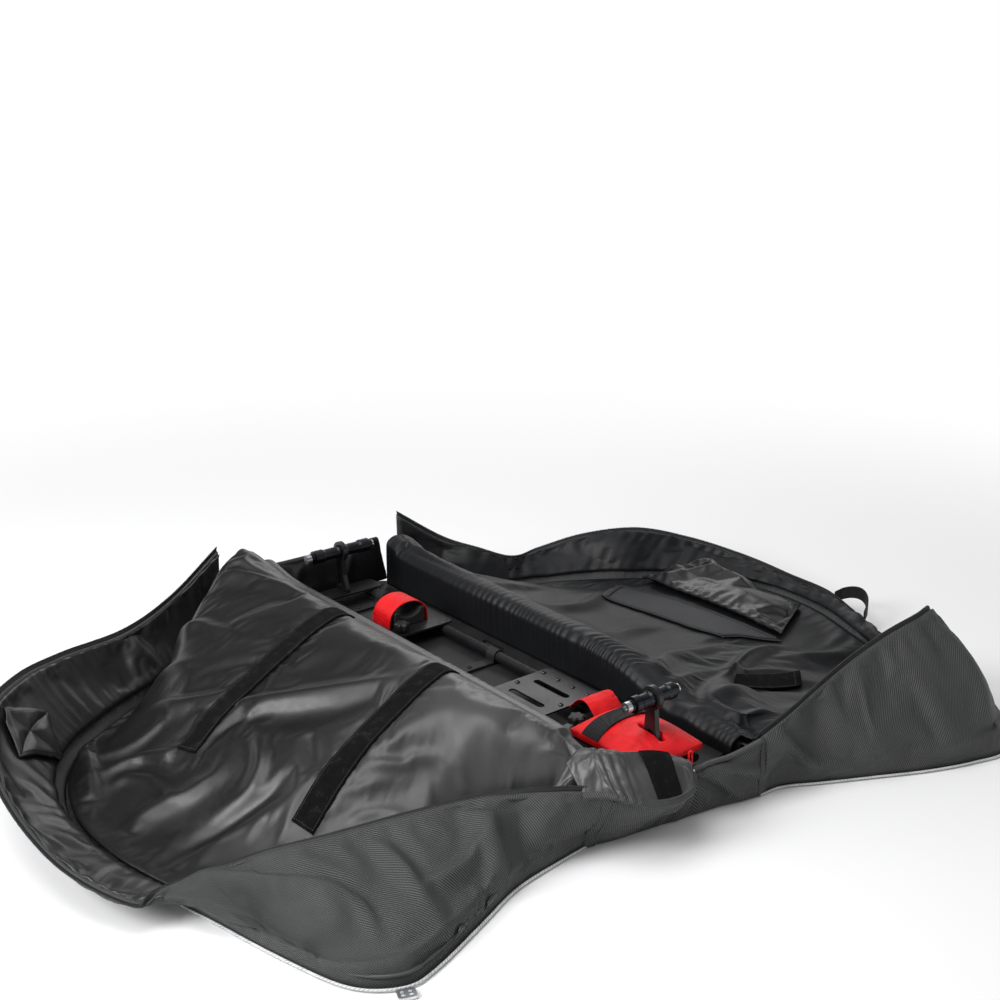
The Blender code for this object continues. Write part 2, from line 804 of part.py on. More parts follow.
# The corner pad's inner and outer edges, as x, y and height in the shares of the front wall.
corner_inner_shares = ((0.425, -0.93, 0.70), (0.444, -0.64, 0.66), (0.458, -0.32, 0.61), (0.480, -0.02, 0.51))
corner_outer_shares = (
    (0.478, -1.02, 0.521),
    (0.506, -0.86, 0.466),
    (0.520, -0.58, 0.451),
    (0.511, -0.20, 0.451),
)
corner_row_shares = (0.0, 0.3, 0.65, 1.0)
corner_pad_thickness = 10 * mm
corner_crown = 6 * mm


def tray_board(parent):
    low = (tray_back, board_inset - tray_width / 2)
    high = (board_front, tray_width / 2 - board_inset)
    slots = []
    for share in slot_station_shares:
        station = share * tray_length
        for y in (-slot_spread, slot_spread):
            slot_low = (station - slot_length / 2, y - slot_width / 2)
            slot_high = (station + slot_length / 2, y + slot_width / 2)
            slots.append(rounded(slot_low, slot_high, slot_width / 2, 3))
    outline = rounded(low, high, board_corner, 6)
    plate("tray_board", outline, slots, tray_floor, board_thickness, moulded_black(), parent)
    low = (low[0] - cover_overhang, low[1] - cover_overhang)
    high = (high[0] + cover_overhang, high[1] + cover_overhang)
    rear = [spot for spot in rounded(low, high, board_corner + cover_overhang, 6) if spot[0] < tray_middle]
    front = []
    for foot, top, across, height in front_wall_shares:
        share = (cover_low - front_wall_foot) / (height * rim_height - front_wall_foot)
        x = lerp(foot, top, share) * tray_length - front_wall_cloth * front_wall_face_share - soft_gap
        front.append((x, across * tray_width / 2 * cover_front_share))
    plate("bottom_cover", rear + front, [], cover_low, cover_cloth, twill_shell(), parent)


def side_wall(name, side, end, material, parent):
    """A padded wall from the board up to the half's inner edge, its top edge rounded."""
    outer = side * tray_width / 2
    inner = outer - side * wall_padding
    start = tray_back + end_wall_padding + soft_gap
    bm = bmesh.new()
    rings = []
    for k in range(wall_stations + 1):
        x = lerp(start, end, k / wall_stations)
        top = min(ridge_height(side, x - wall_ease), ridge_height(side, x + wall_ease)) - wall_drop
        ring = [(inner, wall_low), (outer, wall_low), (outer, top - wall_round)]
        ring += [(outer - side * wall_round, top), (inner + side * wall_round, top)]
        ring.append((inner, top - wall_round))
        rings.append([(x, y, z) for y, z in ring])
    stacked(bm, rings)
    object_from(bm, name, material, parent)


def rear_wall(parent):
    """The padded rear end, leaning a little outwards towards its top."""
    half = tray_width / 2 - rear_wall_inset
    bm = bmesh.new()
    front = tray_back + end_wall_padding
    for vert in box_into(bm, (tray_back, -half, wall_low), (front, half, rear_wall_high)):
        if vert.co.z > hinge_height:
            vert.co.x -= rear_wall_lean
            vert.co.y *= rear_wall_top_share
    bevel(object_from(bm, "rear_wall", padded_lining(), parent), rear_wall_round)


def front_wall(parent):
    """The outer cloth of the front end, from the floor up to the zip, leaning out under the corner pad."""
    rows = []
    for share in front_wall_row_shares:
        row = []
        for foot, top, across, height in front_wall_shares:
            x = lerp(foot, top, share) * tray_length
            z = lerp(front_wall_foot, height * rim_height, share)
            row.append((x, across * tray_width / 2, z))
        rows.append(row)
    sheet("front_wall", rows, 0.0, front_wall_cloth, twill_shell(), parent, True)


def corner_pad(parent):
    """The near front corner: a padded piece between the wall's end and the rounded end of the zip."""
    rows = []
    for share in corner_row_shares:
        row = []
        for inner, outer in zip(corner_inner_shares, corner_outer_shares):
            a = Vector((inner[0] * tray_length, inner[1] * tray_width / 2, inner[2] * rim_height))
            b = Vector((outer[0] * tray_length, outer[1] * tray_width / 2, outer[2] * rim_height))
            spot = a.lerp(b, share)
            spot.z += math.sin(math.pi * share) * corner_crown
            row.append(spot)
        rows.append(row)
    sheet("front_corner_pad", rows, 0.0, corner_pad_thickness, padded_lining(), parent)


# Frame: two rails held on the board by saddles, and a slotted plate across them
rear_bar_setback = 110 * mm
middle_bar_share = -0.06
front_bar_gap = 28 * mm
saddle_length = 22 * mm
saddle_wall = 2.5 * mm
saddle_ear = 15 * mm
screw_y = rail_spread + rail_radius + saddle_wall + saddle_ear / 2
screw_seat = 0.4 * mm
saddle_height = 5 * mm
saddle_steps = 8
screw_head_radius = 4.5 * mm
screw_head_height = 3 * mm
screw_dome_share = 0.72
screw_side_share = 0.45
socket_radius = 2.2 * mm
screw_sides = 8
rail_sides = 18
cap_length = 6 * mm
cap_radius = 8.6 * mm
cap_tip_radius = 7 * mm
plate_thickness = 3 * mm
middle_plate_gap = 48 * mm
middle_plate_length = 136 * mm
middle_plate_half = 82 * mm
plate_corner = 10 * mm
middle_slot_width = 14 * mm
middle_slot_inset = 24 * mm
middle_slot_y = 28 * mm
bolt_margin = 11 * mm
bolt_columns = 4


def crossbar_ring(inner, outer, foot):
    """A crossbar's outline across the tray: an arch over each rail, and a flat ear at each end."""
    ear = rail_spread + outer + saddle_ear
    top = foot + saddle_height
    angles = [math.pi * step / saddle_steps for step in range(saddle_steps + 1)]
    ring = [(-ear, foot)]
    for y in (-rail_spread, rail_spread):
        ring.append((y - inner, foot))
        ring += [(y - inner * math.cos(a), rail_z + inner * math.sin(a)) for a in angles]
        ring.append((y + inner, foot))
    ring += [(ear, foot), (ear, top)]
    for y in (rail_spread, -rail_spread):
        ring.append((y + outer, top))
        ring += [(y + outer * math.cos(a), rail_z + outer * math.sin(a)) for a in angles]
        ring.append((y - outer, top))
    ring.append((-ear, top))
    return ring


def screw_into(bm, x, y, low):
    """Adds a dome-headed screw's head with its socket, standing on a surface."""
    top = low + screw_head_height
    side = low + screw_head_height * screw_side_share
    rings = []
    for radius, level in (
        (screw_head_radius, low),
        (screw_head_radius, side),
        (screw_head_radius * screw_dome_share, top),
        (socket_radius, top),
        (socket_radius, side),
    ):
        rings.append([(a, b, level) for a, b in circle(x, y, radius, screw_sides)])
    stacked(bm, rings)


def rails(parent):
    """Two round steel tubes, each with a plug in both ends."""
    half = (rail_front - rail_back) / 2
    middle = (rail_back + rail_front) / 2
    end = [
        (rail_radius, half),
        (cap_radius, half + rigid_gap),
        (cap_radius, half + cap_length / 2),
        (cap_tip_radius, half + cap_length),
        (0, half + cap_length),
    ]
    profile = end[::-1] + [(radius, -level) for radius, level in end]
    for name, side in (("near_rail", -1), ("far_rail", 1)):
        centre = (middle, side * rail_spread, rail_z)
        turned(name, profile, centre, (1, 0, 0), black_steel(), parent, rail_sides)


def crossbar(name, station, parent):
    """A moulded bar screwed to the board, which holds both rails down in its two arches."""
    inner = rail_radius + rigid_gap
    outer = inner + saddle_wall
    foot = board_top + rigid_gap
    ring = crossbar_ring(inner, outer, foot)
    bm = bmesh.new()
    slab_into(bm, ring, station - saddle_length / 2, station + saddle_length / 2, 0)
    bar = object_from(bm, name, moulded_black(), parent, False)
    bm = bmesh.new()
    for y in (-screw_y, 0.0, screw_y):
        screw_into(bm, station, y, foot + saddle_height - screw_seat)
    combine(bar, helper(object_from(bm, name + "_screws", bright_steel(), parent, False)), "UNION")


def middle_plate(parent):
    slots = []
    middle_plate_front = front_carriage_back - middle_plate_gap
    middle_plate_back = middle_plate_front - middle_plate_length
    for side in (-1, 1):
        y = side * middle_slot_y
        low = (middle_plate_back + middle_slot_inset, y - middle_slot_width / 2)
        high = (middle_plate_front - middle_slot_inset, y + middle_slot_width / 2)
        slots.append(rounded(low, high, middle_slot_width / 2))
    low = (middle_plate_back, -middle_plate_half)
    high = (middle_plate_front, middle_plate_half)
    outline = rounded(low, high, plate_corner)
    made = plate("middle_plate", outline, slots, rail_top, plate_thickness, black_steel(), parent)
    bm = bmesh.new()
    top = rail_top + plate_thickness - screw_seat
    for k in range(bolt_columns):
        x = lerp(low[0] + bolt_margin, high[0] - bolt_margin, k / (bolt_columns - 1))
        for side in (-1, 1):
            screw_into(bm, x, side * rail_spread, top)
    for x in (low[0] + bolt_margin, high[0] - bolt_margin):
        screw_into(bm, x, 0.0, top)
    bolts = helper(object_from(bm, "middle_plate_bolts", bright_steel(), parent, False))
    combine(as_mesh(made), bolts, "UNION")


# Fork and dropout mounts: a carriage on the rails, a cut post with an eye, a dummy hub and an axle
mount_plate = 4 * mm
mount_base = rail_top + mount_plate + rigid_gap
mount_half_width = 78 * mm
post_thickness = 9 * mm
eye_wall = 6 * mm
eye_sides = 24
neck_share = 1.6
waist_share = 0.55
light_width_share = 1.1
light_low_share = 1.3
hub_radius = 13.5 * mm
hub_bore = 6.2 * mm
hub_shoulder = 9.5 * mm
hub_neck = 11.5 * mm
shoulder_length = 7 * mm
hub_collar_shares = (0.55, 0.62)
hub_middle_share = 1.4
axle_running_gap = 0.3 * mm
axle_stop_length = 4 * mm
axle_stop_radius = 7.5 * mm
head_length = 9 * mm
head_radius = 9 * mm
head_socket_depth = 5 * mm
head_socket_radius = 4 * mm
axle_sides = 18
front_hub_setback = 65 * mm
front_hub_x = tray_front - front_hub_setback
front_hub_z = 188 * mm
front_hub_width = 100 * mm
front_carriage_reach = 155 * mm
front_carriage_lead = 27 * mm
front_carriage_back = front_hub_x - front_carriage_reach
front_carriage_front = front_hub_x + front_carriage_lead
rear_hub_setback = 52 * mm
rear_hub_x = tray_back + rear_hub_setback
rear_hub_z = 176 * mm
rear_hub_width = 142 * mm
rear_carriage_lead = 14 * mm
rear_carriage_reach = 32 * mm
rear_carriage_back = rear_hub_x - rear_carriage_lead
rear_carriage_front = rear_hub_x + rear_carriage_reach
post_foot_half = 24 * mm


def carriage(name, back, front, parent):
    outline = rounded((back, -mount_half_width), (front, mount_half_width), plate_corner)
    return plate(name, outline, [], rail_top, mount_plate, black_steel(), parent)


def mount_post(name, x, z, back, front, parent):
    """A post cut from plate: a wide foot, drawn in to a ring for the hub, with a hole down its middle."""
    outer = hub_radius + rigid_gap + eye_wall
    waist = lerp(mount_base, z - outer, waist_share)
    neck = eye_wall * neck_share
    shoulder = neck + eye_wall / 2
    ring = [(x + back, mount_base), (x + front, mount_base)]
    ring += [(x + front, mount_base + eye_wall), (x + shoulder, waist)]
    start = math.asin(neck / outer)
    for step in range(eye_sides + 1):
        angle = start - math.pi / 2 + (math.tau - 2 * start) * step / eye_sides
        ring.append((x + outer * math.cos(angle), z + outer * math.sin(angle)))
    ring += [(x - shoulder, waist), (x + back, mount_base + eye_wall)]
    eye = circle(x, z, hub_radius + rigid_gap, eye_sides)
    half = neck * light_width_share / 2
    low = mount_base + eye_wall * light_low_share
    high = max(waist, low + 2 * half + rigid_gap)
    light = rounded((x - half, low), (x + half, high), half)
    return plate(name, ring, [eye, light], -post_thickness / 2, post_thickness, black_steel(), parent, "XZ")


def dummy_hub(name, x, z, width, parent):
    half = width / 2
    inner, outer = hub_collar_shares
    side = [
        (hub_radius, post_thickness),
        (hub_neck, post_thickness * hub_middle_share),
        (hub_neck, half * inner),
        (hub_radius, half * outer),
        (hub_radius, half - shoulder_length - rigid_gap),
        (hub_shoulder, half - shoulder_length),
        (hub_shoulder, half),
        (hub_bore, half),
    ]
    profile = [(radius, -level) for radius, level in side[::-1]] + side
    return turned(name, profile, (x, 0, z), (0, 1, 0), anodised_black(), parent)


def axle(name, x, z, width, parent):
    """A through axle: a socket head at the near side and an end stop at the far side."""
    radius = hub_bore - axle_running_gap
    stop = width / 2 + rigid_gap
    profile = [
        (0, -stop - head_length + head_socket_depth),
        (head_socket_radius, -stop - head_length + head_socket_depth),
        (head_socket_radius, -stop - head_length),
        (head_radius, -stop - head_length),
        (head_radius, -stop),
        (radius, -stop),
        (radius, stop),
        (axle_stop_radius, stop),
        (axle_stop_radius, stop + axle_stop_length),
        (0, stop + axle_stop_length),
    ]
    turned(name, profile, (x, 0, z), (0, 1, 0), bright_steel(), parent, axle_sides)


def fork_mount(tray):
    body = pivot("front_mount_slide", (front_hub_x, 0, rail_top), tray)
    carriage("front_carriage", front_carriage_back, front_carriage_front, body)
    mount_post("front_post", front_hub_x, front_hub_z, -post_foot_half, post_foot_half, body)
    dummy_hub("front_dummy_hub", front_hub_x, front_hub_z, front_hub_width, body)
    turn = pivot("front_axle_turn", (front_hub_x, 0, front_hub_z), body)
    axle("front_axle", front_hub_x, front_hub_z, front_hub_width, turn)
    lock_knob("front_lock_knob", front_carriage_back + knob_inset, knob_y, body)
    fork_cover(body)
    cover_straps(body)


def dropout_mount(tray):
    carriage("rear_carriage", rear_carriage_back, rear_carriage_front, tray)
    mount_post("rear_post", rear_hub_x, rear_hub_z, -post_foot_half / 2, post_foot_half, tray)
    dummy_hub("rear_dummy_hub", rear_hub_x, rear_hub_z, rear_hub_width, tray)
    turn = pivot("rear_axle_turn", (rear_hub_x, 0, rear_hub_z), tray)
    axle("rear_axle", rear_hub_x, rear_hub_z, rear_hub_width, turn)


# Lock knobs: a lobed head on a short stem, turned by hand
knob_inset = 16 * mm
knob_y = -32 * mm
knob_radius = 13 * mm
knob_lobe = 2.2 * mm
knob_stem = 5 * mm
knob_height = 14 * mm
stem_radius = 6 * mm
knob_lobes = 6
knob_lobe_steps = 6
knob_level_shares = ((0.0, 0.9), (0.3, 1.0), (0.8, 1.0), (1.0, 0.82))


def lock_knob(name, x, y, parent):
    turn = pivot(name + "_axis", (x, y, mount_base), parent)
    sides = knob_lobes * knob_lobe_steps
    stem = circle(x, y, stem_radius, sides)
    rings = [[(a, b, mount_base + level) for a, b in stem] for level in (0.0, knob_stem)]
    for level, share in knob_level_shares:
        ring = []
        for k in range(sides):
            angle = math.tau * k / sides
            reach = (knob_radius + knob_lobe * math.cos(angle * knob_lobes)) * share
            z = mount_base + knob_stem + knob_height * level
            ring.append((x + reach * math.cos(angle), y + reach * math.sin(angle), z))
        rings.append(ring)
    bm = bmesh.new()
    stacked(bm, rings)
    object_from(bm, name, moulded_black(), turn)


# Red padded cover over the fork carriage, its arched flap and the black strap across it
cover_reach = 119 * mm
cover_lead = 49 * mm
cover_back = front_hub_x - cover_reach
cover_front = front_hub_x + cover_lead
cover_half_width = 66 * mm
cover_rise = 42 * mm
cover_edge_share = 0.35
cover_cuts = 9
cover_round_power = 4
cover_side_power = 3
cover_waist_share = 0.22
cover_waist_run = 27 * mm
cover_slot_gap = 1 * mm
band_width = 38 * mm
band_reach = 71 * mm
band_x = front_hub_x - band_reach
band_cloth = 2.2 * mm
band_lift = 0.9 * mm
band_points = 17
flap_arch_reach = 193 * mm
flap_arch_span = 68 * mm
flap_arch_back = front_hub_x - flap_arch_reach
flap_arch_front = flap_arch_back + flap_arch_span
flap_arch_low_y = -2 * mm
flap_arch_high_y = 62 * mm
flap_arch_rise = 26 * mm
flap_arch_cloth = 3 * mm
flap_arch_points = 9


def cover_height(x, y):
    """Height of the padded cover's crowned top over the carriage."""
    along = 2 * (x - cover_back) / (cover_front - cover_back) - 1
    across = abs(y) / cover_half_width
    crown = (1 - min(abs(along), 1) ** cover_round_power) * (1 - min(across, 1) ** cover_side_power)
    pinch = 1 - cover_waist_share * math.exp(-(((x - band_x) / cover_waist_run) ** 2))
    return cover_rise * lerp(cover_edge_share, 1.0, crown * pinch)


def fork_cover(parent):
    bm = bmesh.new()
    low = (cover_back, -cover_half_width, mount_base)
    high = (cover_front, cover_half_width, mount_base + cover_rise)
    box_into(bm, low, high)
    bmesh.ops.subdivide_edges(bm, edges=bm.edges[:], cuts=cover_cuts, use_grid_fill=True)
    for vert in bm.verts:
        share = (vert.co.z - mount_base) / cover_rise
        vert.co.z = mount_base + share * cover_height(vert.co.x, vert.co.y)
    cover = object_from(bm, "front_pad", red_nylon(), parent)
    reach = post_foot_half + cover_slot_gap
    half = post_thickness / 2 + cover_slot_gap
    low = (front_hub_x - reach, -half, mount_base - cover_rise)
    high = (front_hub_x + reach, half, mount_base + 2 * cover_rise)
    combine(cover, helper(box("post_slot", low, high, red_nylon(), parent)), "DIFFERENCE")


def cover_straps(parent):
    rows = []
    for x in (band_x - band_width / 2, band_x, band_x + band_width / 2):
        row = []
        for k in range(band_points):
            y = lerp(soft_gap - cover_half_width, cover_half_width - soft_gap, k / (band_points - 1))
            row.append((x, y, mount_base + cover_height(x, y) + band_lift))
        rows.append(row)
    sheet("front_pad_strap", rows, 0.0, band_cloth, loop_tape(), parent)
    rows = []
    for y in (flap_arch_low_y, (flap_arch_low_y + flap_arch_high_y) / 2, flap_arch_high_y):
        row = []
        for k in range(flap_arch_points):
            share = k / (flap_arch_points - 1)
            x = lerp(flap_arch_back, flap_arch_front, share)
            row.append((x, y, mount_base + math.sin(math.pi * share) * flap_arch_rise))
        rows.append(row)
    sheet("front_pad_flap", rows, 0.0, flap_arch_cloth, red_nylon(), parent)


# Rest for the bottom bracket: a sliding plate, a moulded cradle and a red strap over it
rest_share = -0.275
rest_x = rest_share * tray_length
rest_length = 132 * mm
rest_knob_inset = 16 * mm
cradle_length = 66 * mm
cradle_half_width = 34 * mm
cradle_height = 30 * mm
cradle_dip = 14 * mm
cradle_round = 1.7 * mm
cradle_mouth_share = 0.72
cradle_steps = 12
strap_half_width = 44 * mm
rest_strap_width = 56 * mm
rest_strap_cloth = 3 * mm
rest_strap_rise = 46 * mm
rest_strap_power = 0.7


def bracket_rest(tray):
    body = pivot("bracket_rest_slide", (rest_x, 0, rail_top), tray)
    carriage("rest_plate", rest_x - rest_length / 2, rest_x + rest_length / 2, body)
    top = mount_base + cradle_height
    ring = [(cradle_half_width, mount_base), (cradle_half_width, top)]
    for k in range(cradle_steps + 1):
        angle = math.pi * k / cradle_steps
        across = cradle_half_width * cradle_mouth_share * math.cos(angle)
        ring.append((across, top - cradle_dip * math.sin(angle)))
    ring += [(-cradle_half_width, top), (-cradle_half_width, mount_base)]
    bm = bmesh.new()
    slab_into(bm, ring, rest_x - cradle_length / 2, rest_x + cradle_length / 2, 0)
    bevel(object_from(bm, "bracket_cradle", wheel_rubber(), body), cradle_round)
    rows = []
    for x in (rest_x - rest_strap_width / 2, rest_x, rest_x + rest_strap_width / 2):
        row = []
        for k in range(band_points):
            angle = math.pi * k / (band_points - 1)
            rise = rest_strap_rise * math.sin(angle) ** rest_strap_power if 0 < k < band_points - 1 else 0.0
            row.append((x, strap_half_width * math.cos(angle), mount_base + rise))
        rows.append(row)
    sheet("bracket_strap", rows, 0.0, rest_strap_cloth, red_nylon(), body, True)
    lock_knob("rest_lock_knob", rest_x + rest_length / 2 - rest_knob_inset, knob_y, body)


# Wheels under the tray: two swivel casters in front, two fixed wheels behind
wheel_radius = 23.5 * mm
wheel_half_width = 10 * mm
wheel_bore = 4.3 * mm
wheel_shoulder = 3 * mm
wheel_hub_share = 1.9
wheel_web_share = 0.45
web_edge_share = 0.68
tread_edge_share = 0.72
tread_flat_share = 0.4
pin_radius = wheel_bore - axle_running_gap
pin_overhang = 2 * mm
pin_sides = 16
caster_setback = 110 * mm
caster_x = tray_front - caster_setback
caster_y = 84 * mm
caster_trail = 18 * mm
caster_plate_half = 25 * mm
caster_plate_thickness = 3 * mm
caster_plate_top = cover_low - rigid_gap
race_radius = 13 * mm
race_height = 3 * mm
race_seat = 1 * mm
cheek_thickness = 2.5 * mm
cheek_gap = 1.2 * mm
cheek_half = 11 * mm
cheek_eye = 8 * mm
cheek_tail = 6 * mm
cheek_steps = 8
rear_wheel_setback = 78 * mm
rear_wheel_x = tray_back + rear_wheel_setback
rear_wheel_y = 104 * mm


def wheel_ring():
    """The profile of a wheel: a rounded tread over a thinner web and a hub."""
    half = wheel_half_width
    hub = wheel_bore * wheel_hub_share
    web = half * wheel_web_share
    side = [
        (wheel_bore, half),
        (hub, half),
        (hub, web),
        (wheel_radius * web_edge_share, web),
        (wheel_radius * tread_edge_share, half - wheel_shoulder),
        (wheel_radius - wheel_shoulder, half - wheel_shoulder),
        (wheel_radius, half * tread_flat_share),
    ]
    return [(radius, -level) for radius, level in side] + side[::-1]


def fork_into(bm, extras, x, y, top, trail):
    """Adds a wheel fork's two cheeks to one mesh, and its bridge and pin to another that is joined to it."""
    inner = wheel_half_width + cheek_gap
    outer = inner + cheek_thickness
    under = top - cheek_thickness
    back = x - cheek_half - (cheek_tail if trail else 0.0)
    ring = [(back, top), (x + cheek_half, top), (x + cheek_half, under - cheek_thickness)]
    for step in range(cheek_steps + 1):
        angle = -math.pi * step / cheek_steps
        ring.append((x - trail + cheek_eye * math.cos(angle), wheel_radius + cheek_eye * math.sin(angle)))
    ring.append((back, under - cheek_thickness))
    for side in (-1, 1):
        levels = sorted((y + side * inner, y + side * outer))
        slab_into(bm, ring, *levels, 1)
    low_y = y - outer if trail else min(y - outer, -y - outer)
    high_y = y + outer if trail else max(y + outer, -y + outer)
    if trail or y > 0:
        box_into(extras, (back, low_y, under), (x + cheek_half, high_y, top))
    length = 2 * (outer + pin_overhang)
    cylinder_into(extras, (x - trail, y, wheel_radius), (0, 1, 0), pin_radius, length, pin_sides)


def forks(name, spots, top, trail, parent):
    """The fork or forks at these places, as one solid with bridge and pins."""
    bm = bmesh.new()
    extras = bmesh.new()
    for x, y in spots:
        fork_into(bm, extras, x, y, top, trail)
    fork = object_from(bm, name, black_steel(), parent, False)
    joined = helper(object_from(extras, name + "_bridge_and_pin", black_steel(), parent, False))
    combine(fork, joined, "UNION")
    if trail:
        x, y = spots[0]
        race = bmesh.new()
        centre = (x, y, top + (race_height - race_seat) / 2)
        cylinder_into(race, centre, (0, 0, 1), race_radius, race_height + race_seat, rail_sides)
        combine(fork, helper(object_from(race, name + "_race", black_steel(), parent, False)), "UNION")


def wheel(name, x, y, parent):
    turn = pivot(name + "_axle", (x, y, wheel_radius), parent)
    turned(name, wheel_ring(), (x, y, wheel_radius), (0, 1, 0), wheel_rubber(), turn)


def wheels(tray):
    low = caster_plate_top - caster_plate_thickness
    top = low - rigid_gap - race_height
    reach = caster_y + caster_plate_half
    low_corner = (caster_x - caster_plate_half, -reach)
    outline = rounded(low_corner, (caster_x + caster_plate_half, reach), plate_corner)
    plate("front_caster_plate", outline, [], low, caster_plate_thickness, black_steel(), tray)
    for label, side in (("near", -1), ("far", 1)):
        y = side * caster_y
        swivel = pivot(f"front_{label}_swivel", (caster_x, y, low), tray)
        forks(f"front_{label}_fork", [(caster_x, y)], top, caster_trail, swivel)
        wheel(f"front_{label}_wheel", caster_x - caster_trail, y, swivel)
        wheel(f"rear_{label}_wheel", rear_wheel_x, side * rear_wheel_y, tray)
    spots = [(rear_wheel_x, side * rear_wheel_y) for side in (-1, 1)]
    forks("rear_wheel_forks", spots, caster_plate_top, 0.0, tray)


# Zip slider and its cord pull, the carry handle and the far hook
slider_length = 16 * mm
slider_width = 9 * mm
slider_height = 6 * mm
slider_round = 1.5 * mm
slider_x_share = 0.478
slider_x = slider_x_share * tray_length
slider_y = 12 * mm
slider_place_share = 0.39
slider_rise = 5 * mm
slider_seat = slider_place_share * rim_height + slider_rise
pull_length = 30 * mm
pull_radius = 1.9 * mm
pull_bend = 3.8 * mm
pull_steps = 10
handle_foot_shares = ((0.190, 1.134, 0.17), (0.085, 1.1962, 0.17))
handle_reach = 40 * mm
handle_rise = 18 * mm
handle_cloth = 3 * mm
handle_width = 26 * mm
handle_points = 13
handle_bow_power = 0.6
far_hook_index = 6
hook_radius = 10 * mm
hook_wire = 1.9 * mm
hook_gap = 2.6 * mm
hook_sides = 18


def zip_end(tray):
    """The slider parked at the bottom end of the zip, and its cord pull."""
    half = (slider_width / 2, slider_length / 2)
    low = (slider_x - half[0], slider_y - half[1], slider_seat)
    high = (slider_x + half[0], slider_y + half[1], slider_seat + slider_height)
    box("zip_slider", low, high, bright_steel(), tray, slider_round)
    foot = high[2] + rigid_gap + pull_radius
    turn = pivot("zip_pull_hinge", (slider_x, slider_y, foot), tray)
    top = foot + pull_length - pull_bend
    points = [(slider_x, slider_y - pull_bend, foot)]
    for k in range(pull_steps + 1):
        angle = math.pi * k / pull_steps
        points.append((slider_x, slider_y - pull_bend * math.cos(angle), top + pull_bend * math.sin(angle)))
    points.append((slider_x, slider_y + pull_bend, foot))
    tube("zip_pull", points, pull_radius, red_nylon(), turn, 1, True)


def carry_handle(parent):
    """A webbing loop sewn on the outside of the far top gusset, which turns about its two feet."""
    feet = [place(1, *shares) for shares in handle_foot_shares]
    middle = (feet[0] + feet[1]) / 2
    turn = pivot("carry_handle_hinge", middle + Vector((0, 0, handle_width / 2)), parent)
    rows = []
    for way in (-1, 1):
        row = []
        for k in range(handle_points):
            share = k / (handle_points - 1)
            bow = math.sin(math.pi * share) ** handle_bow_power if 0 < k < handle_points - 1 else 0.0
            spot = feet[0].lerp(feet[1], share)
            row.append(spot + Vector((0, handle_reach * bow, handle_rise * bow + way * handle_width / 2)))
        rows.append(row)
    sheet("carry_handle", rows, 0.0, handle_cloth, loop_tape(), turn, True)


def far_hook(parent):
    """A metal ring at the outer front corner of the far half."""
    seam = [place(1, p[0], p[1]) for p in far_place_shares]
    away = outward_in_plan(seam)[far_hook_index]
    clear = gusset_cloth / 2 + 2 * piping_radius + hook_gap
    hinge = seam[far_hook_index] + away * (clear + hook_wire)
    spot = hinge + away * hook_radius
    turn = pivot("far_hook_hinge", (hinge.x, hinge.y, hook_wire), parent)
    points = [(x, y, hook_wire) for x, y in circle(spot.x, spot.y, hook_radius, hook_sides)]
    tube("far_hook", points, hook_wire, bright_steel(), turn, 1, True)


def centre_on_floor(root):
    """Moves the whole bag so that the middle of its outline in plan is over the origin."""
    bpy.context.view_layer.update()
    graph = bpy.context.evaluated_depsgraph_get()
    spots = []
    for obj in bag.objects:
        if obj.type == "EMPTY":
            continue
        evaluated = obj.evaluated_get(graph)
        mesh = evaluated.to_mesh()
        spots += [evaluated.matrix_world @ vert.co for vert in mesh.vertices]
        evaluated.to_mesh_clear()
    for axis in (0, 1):
        levels = [spot[axis] for spot in spots]
        root.location[axis] -= (min(levels) + max(levels)) / 2


clear_scene()
bag = new_collection("soft_bike_travel_bag")
cutters = new_collection("cutters")
tray = pivot("tray_frame", (0, 0, 0))
near_fold = pivot("near_fold_axis", (0, -hinge_y, hinge_height), tray)
far_fold = pivot("far_fold_axis", (0, hinge_y, hinge_height), tray)
near_half(near_fold)
far_half(far_fold)
carry_handle(far_fold)
far_hook(far_fold)
tray_board(tray)
side_wall("near_wall", -1, near_wall_end_share * tray_length, padded_lining(), tray)
side_wall("far_wall", 1, far_wall_end_share * tray_length, matte_lining(), tray)
rear_wall(tray)
front_wall(tray)
corner_pad(tray)
rails(tray)
crossbar("rear_crossbar", tray_back + rear_bar_setback, tray)
crossbar("middle_crossbar", middle_bar_share * tray_length, tray)
crossbar("front_crossbar", front_carriage_back - front_bar_gap, tray)
middle_plate(tray)
fork_mount(tray)
dropout_mount(tray)
bracket_rest(tray)
wheels(tray)
zip_end(tray)
centre_on_floor(tray)
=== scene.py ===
import math

import bmesh
import bpy
import numpy as np
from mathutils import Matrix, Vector
from mathutils.bvhtree import BVHTree


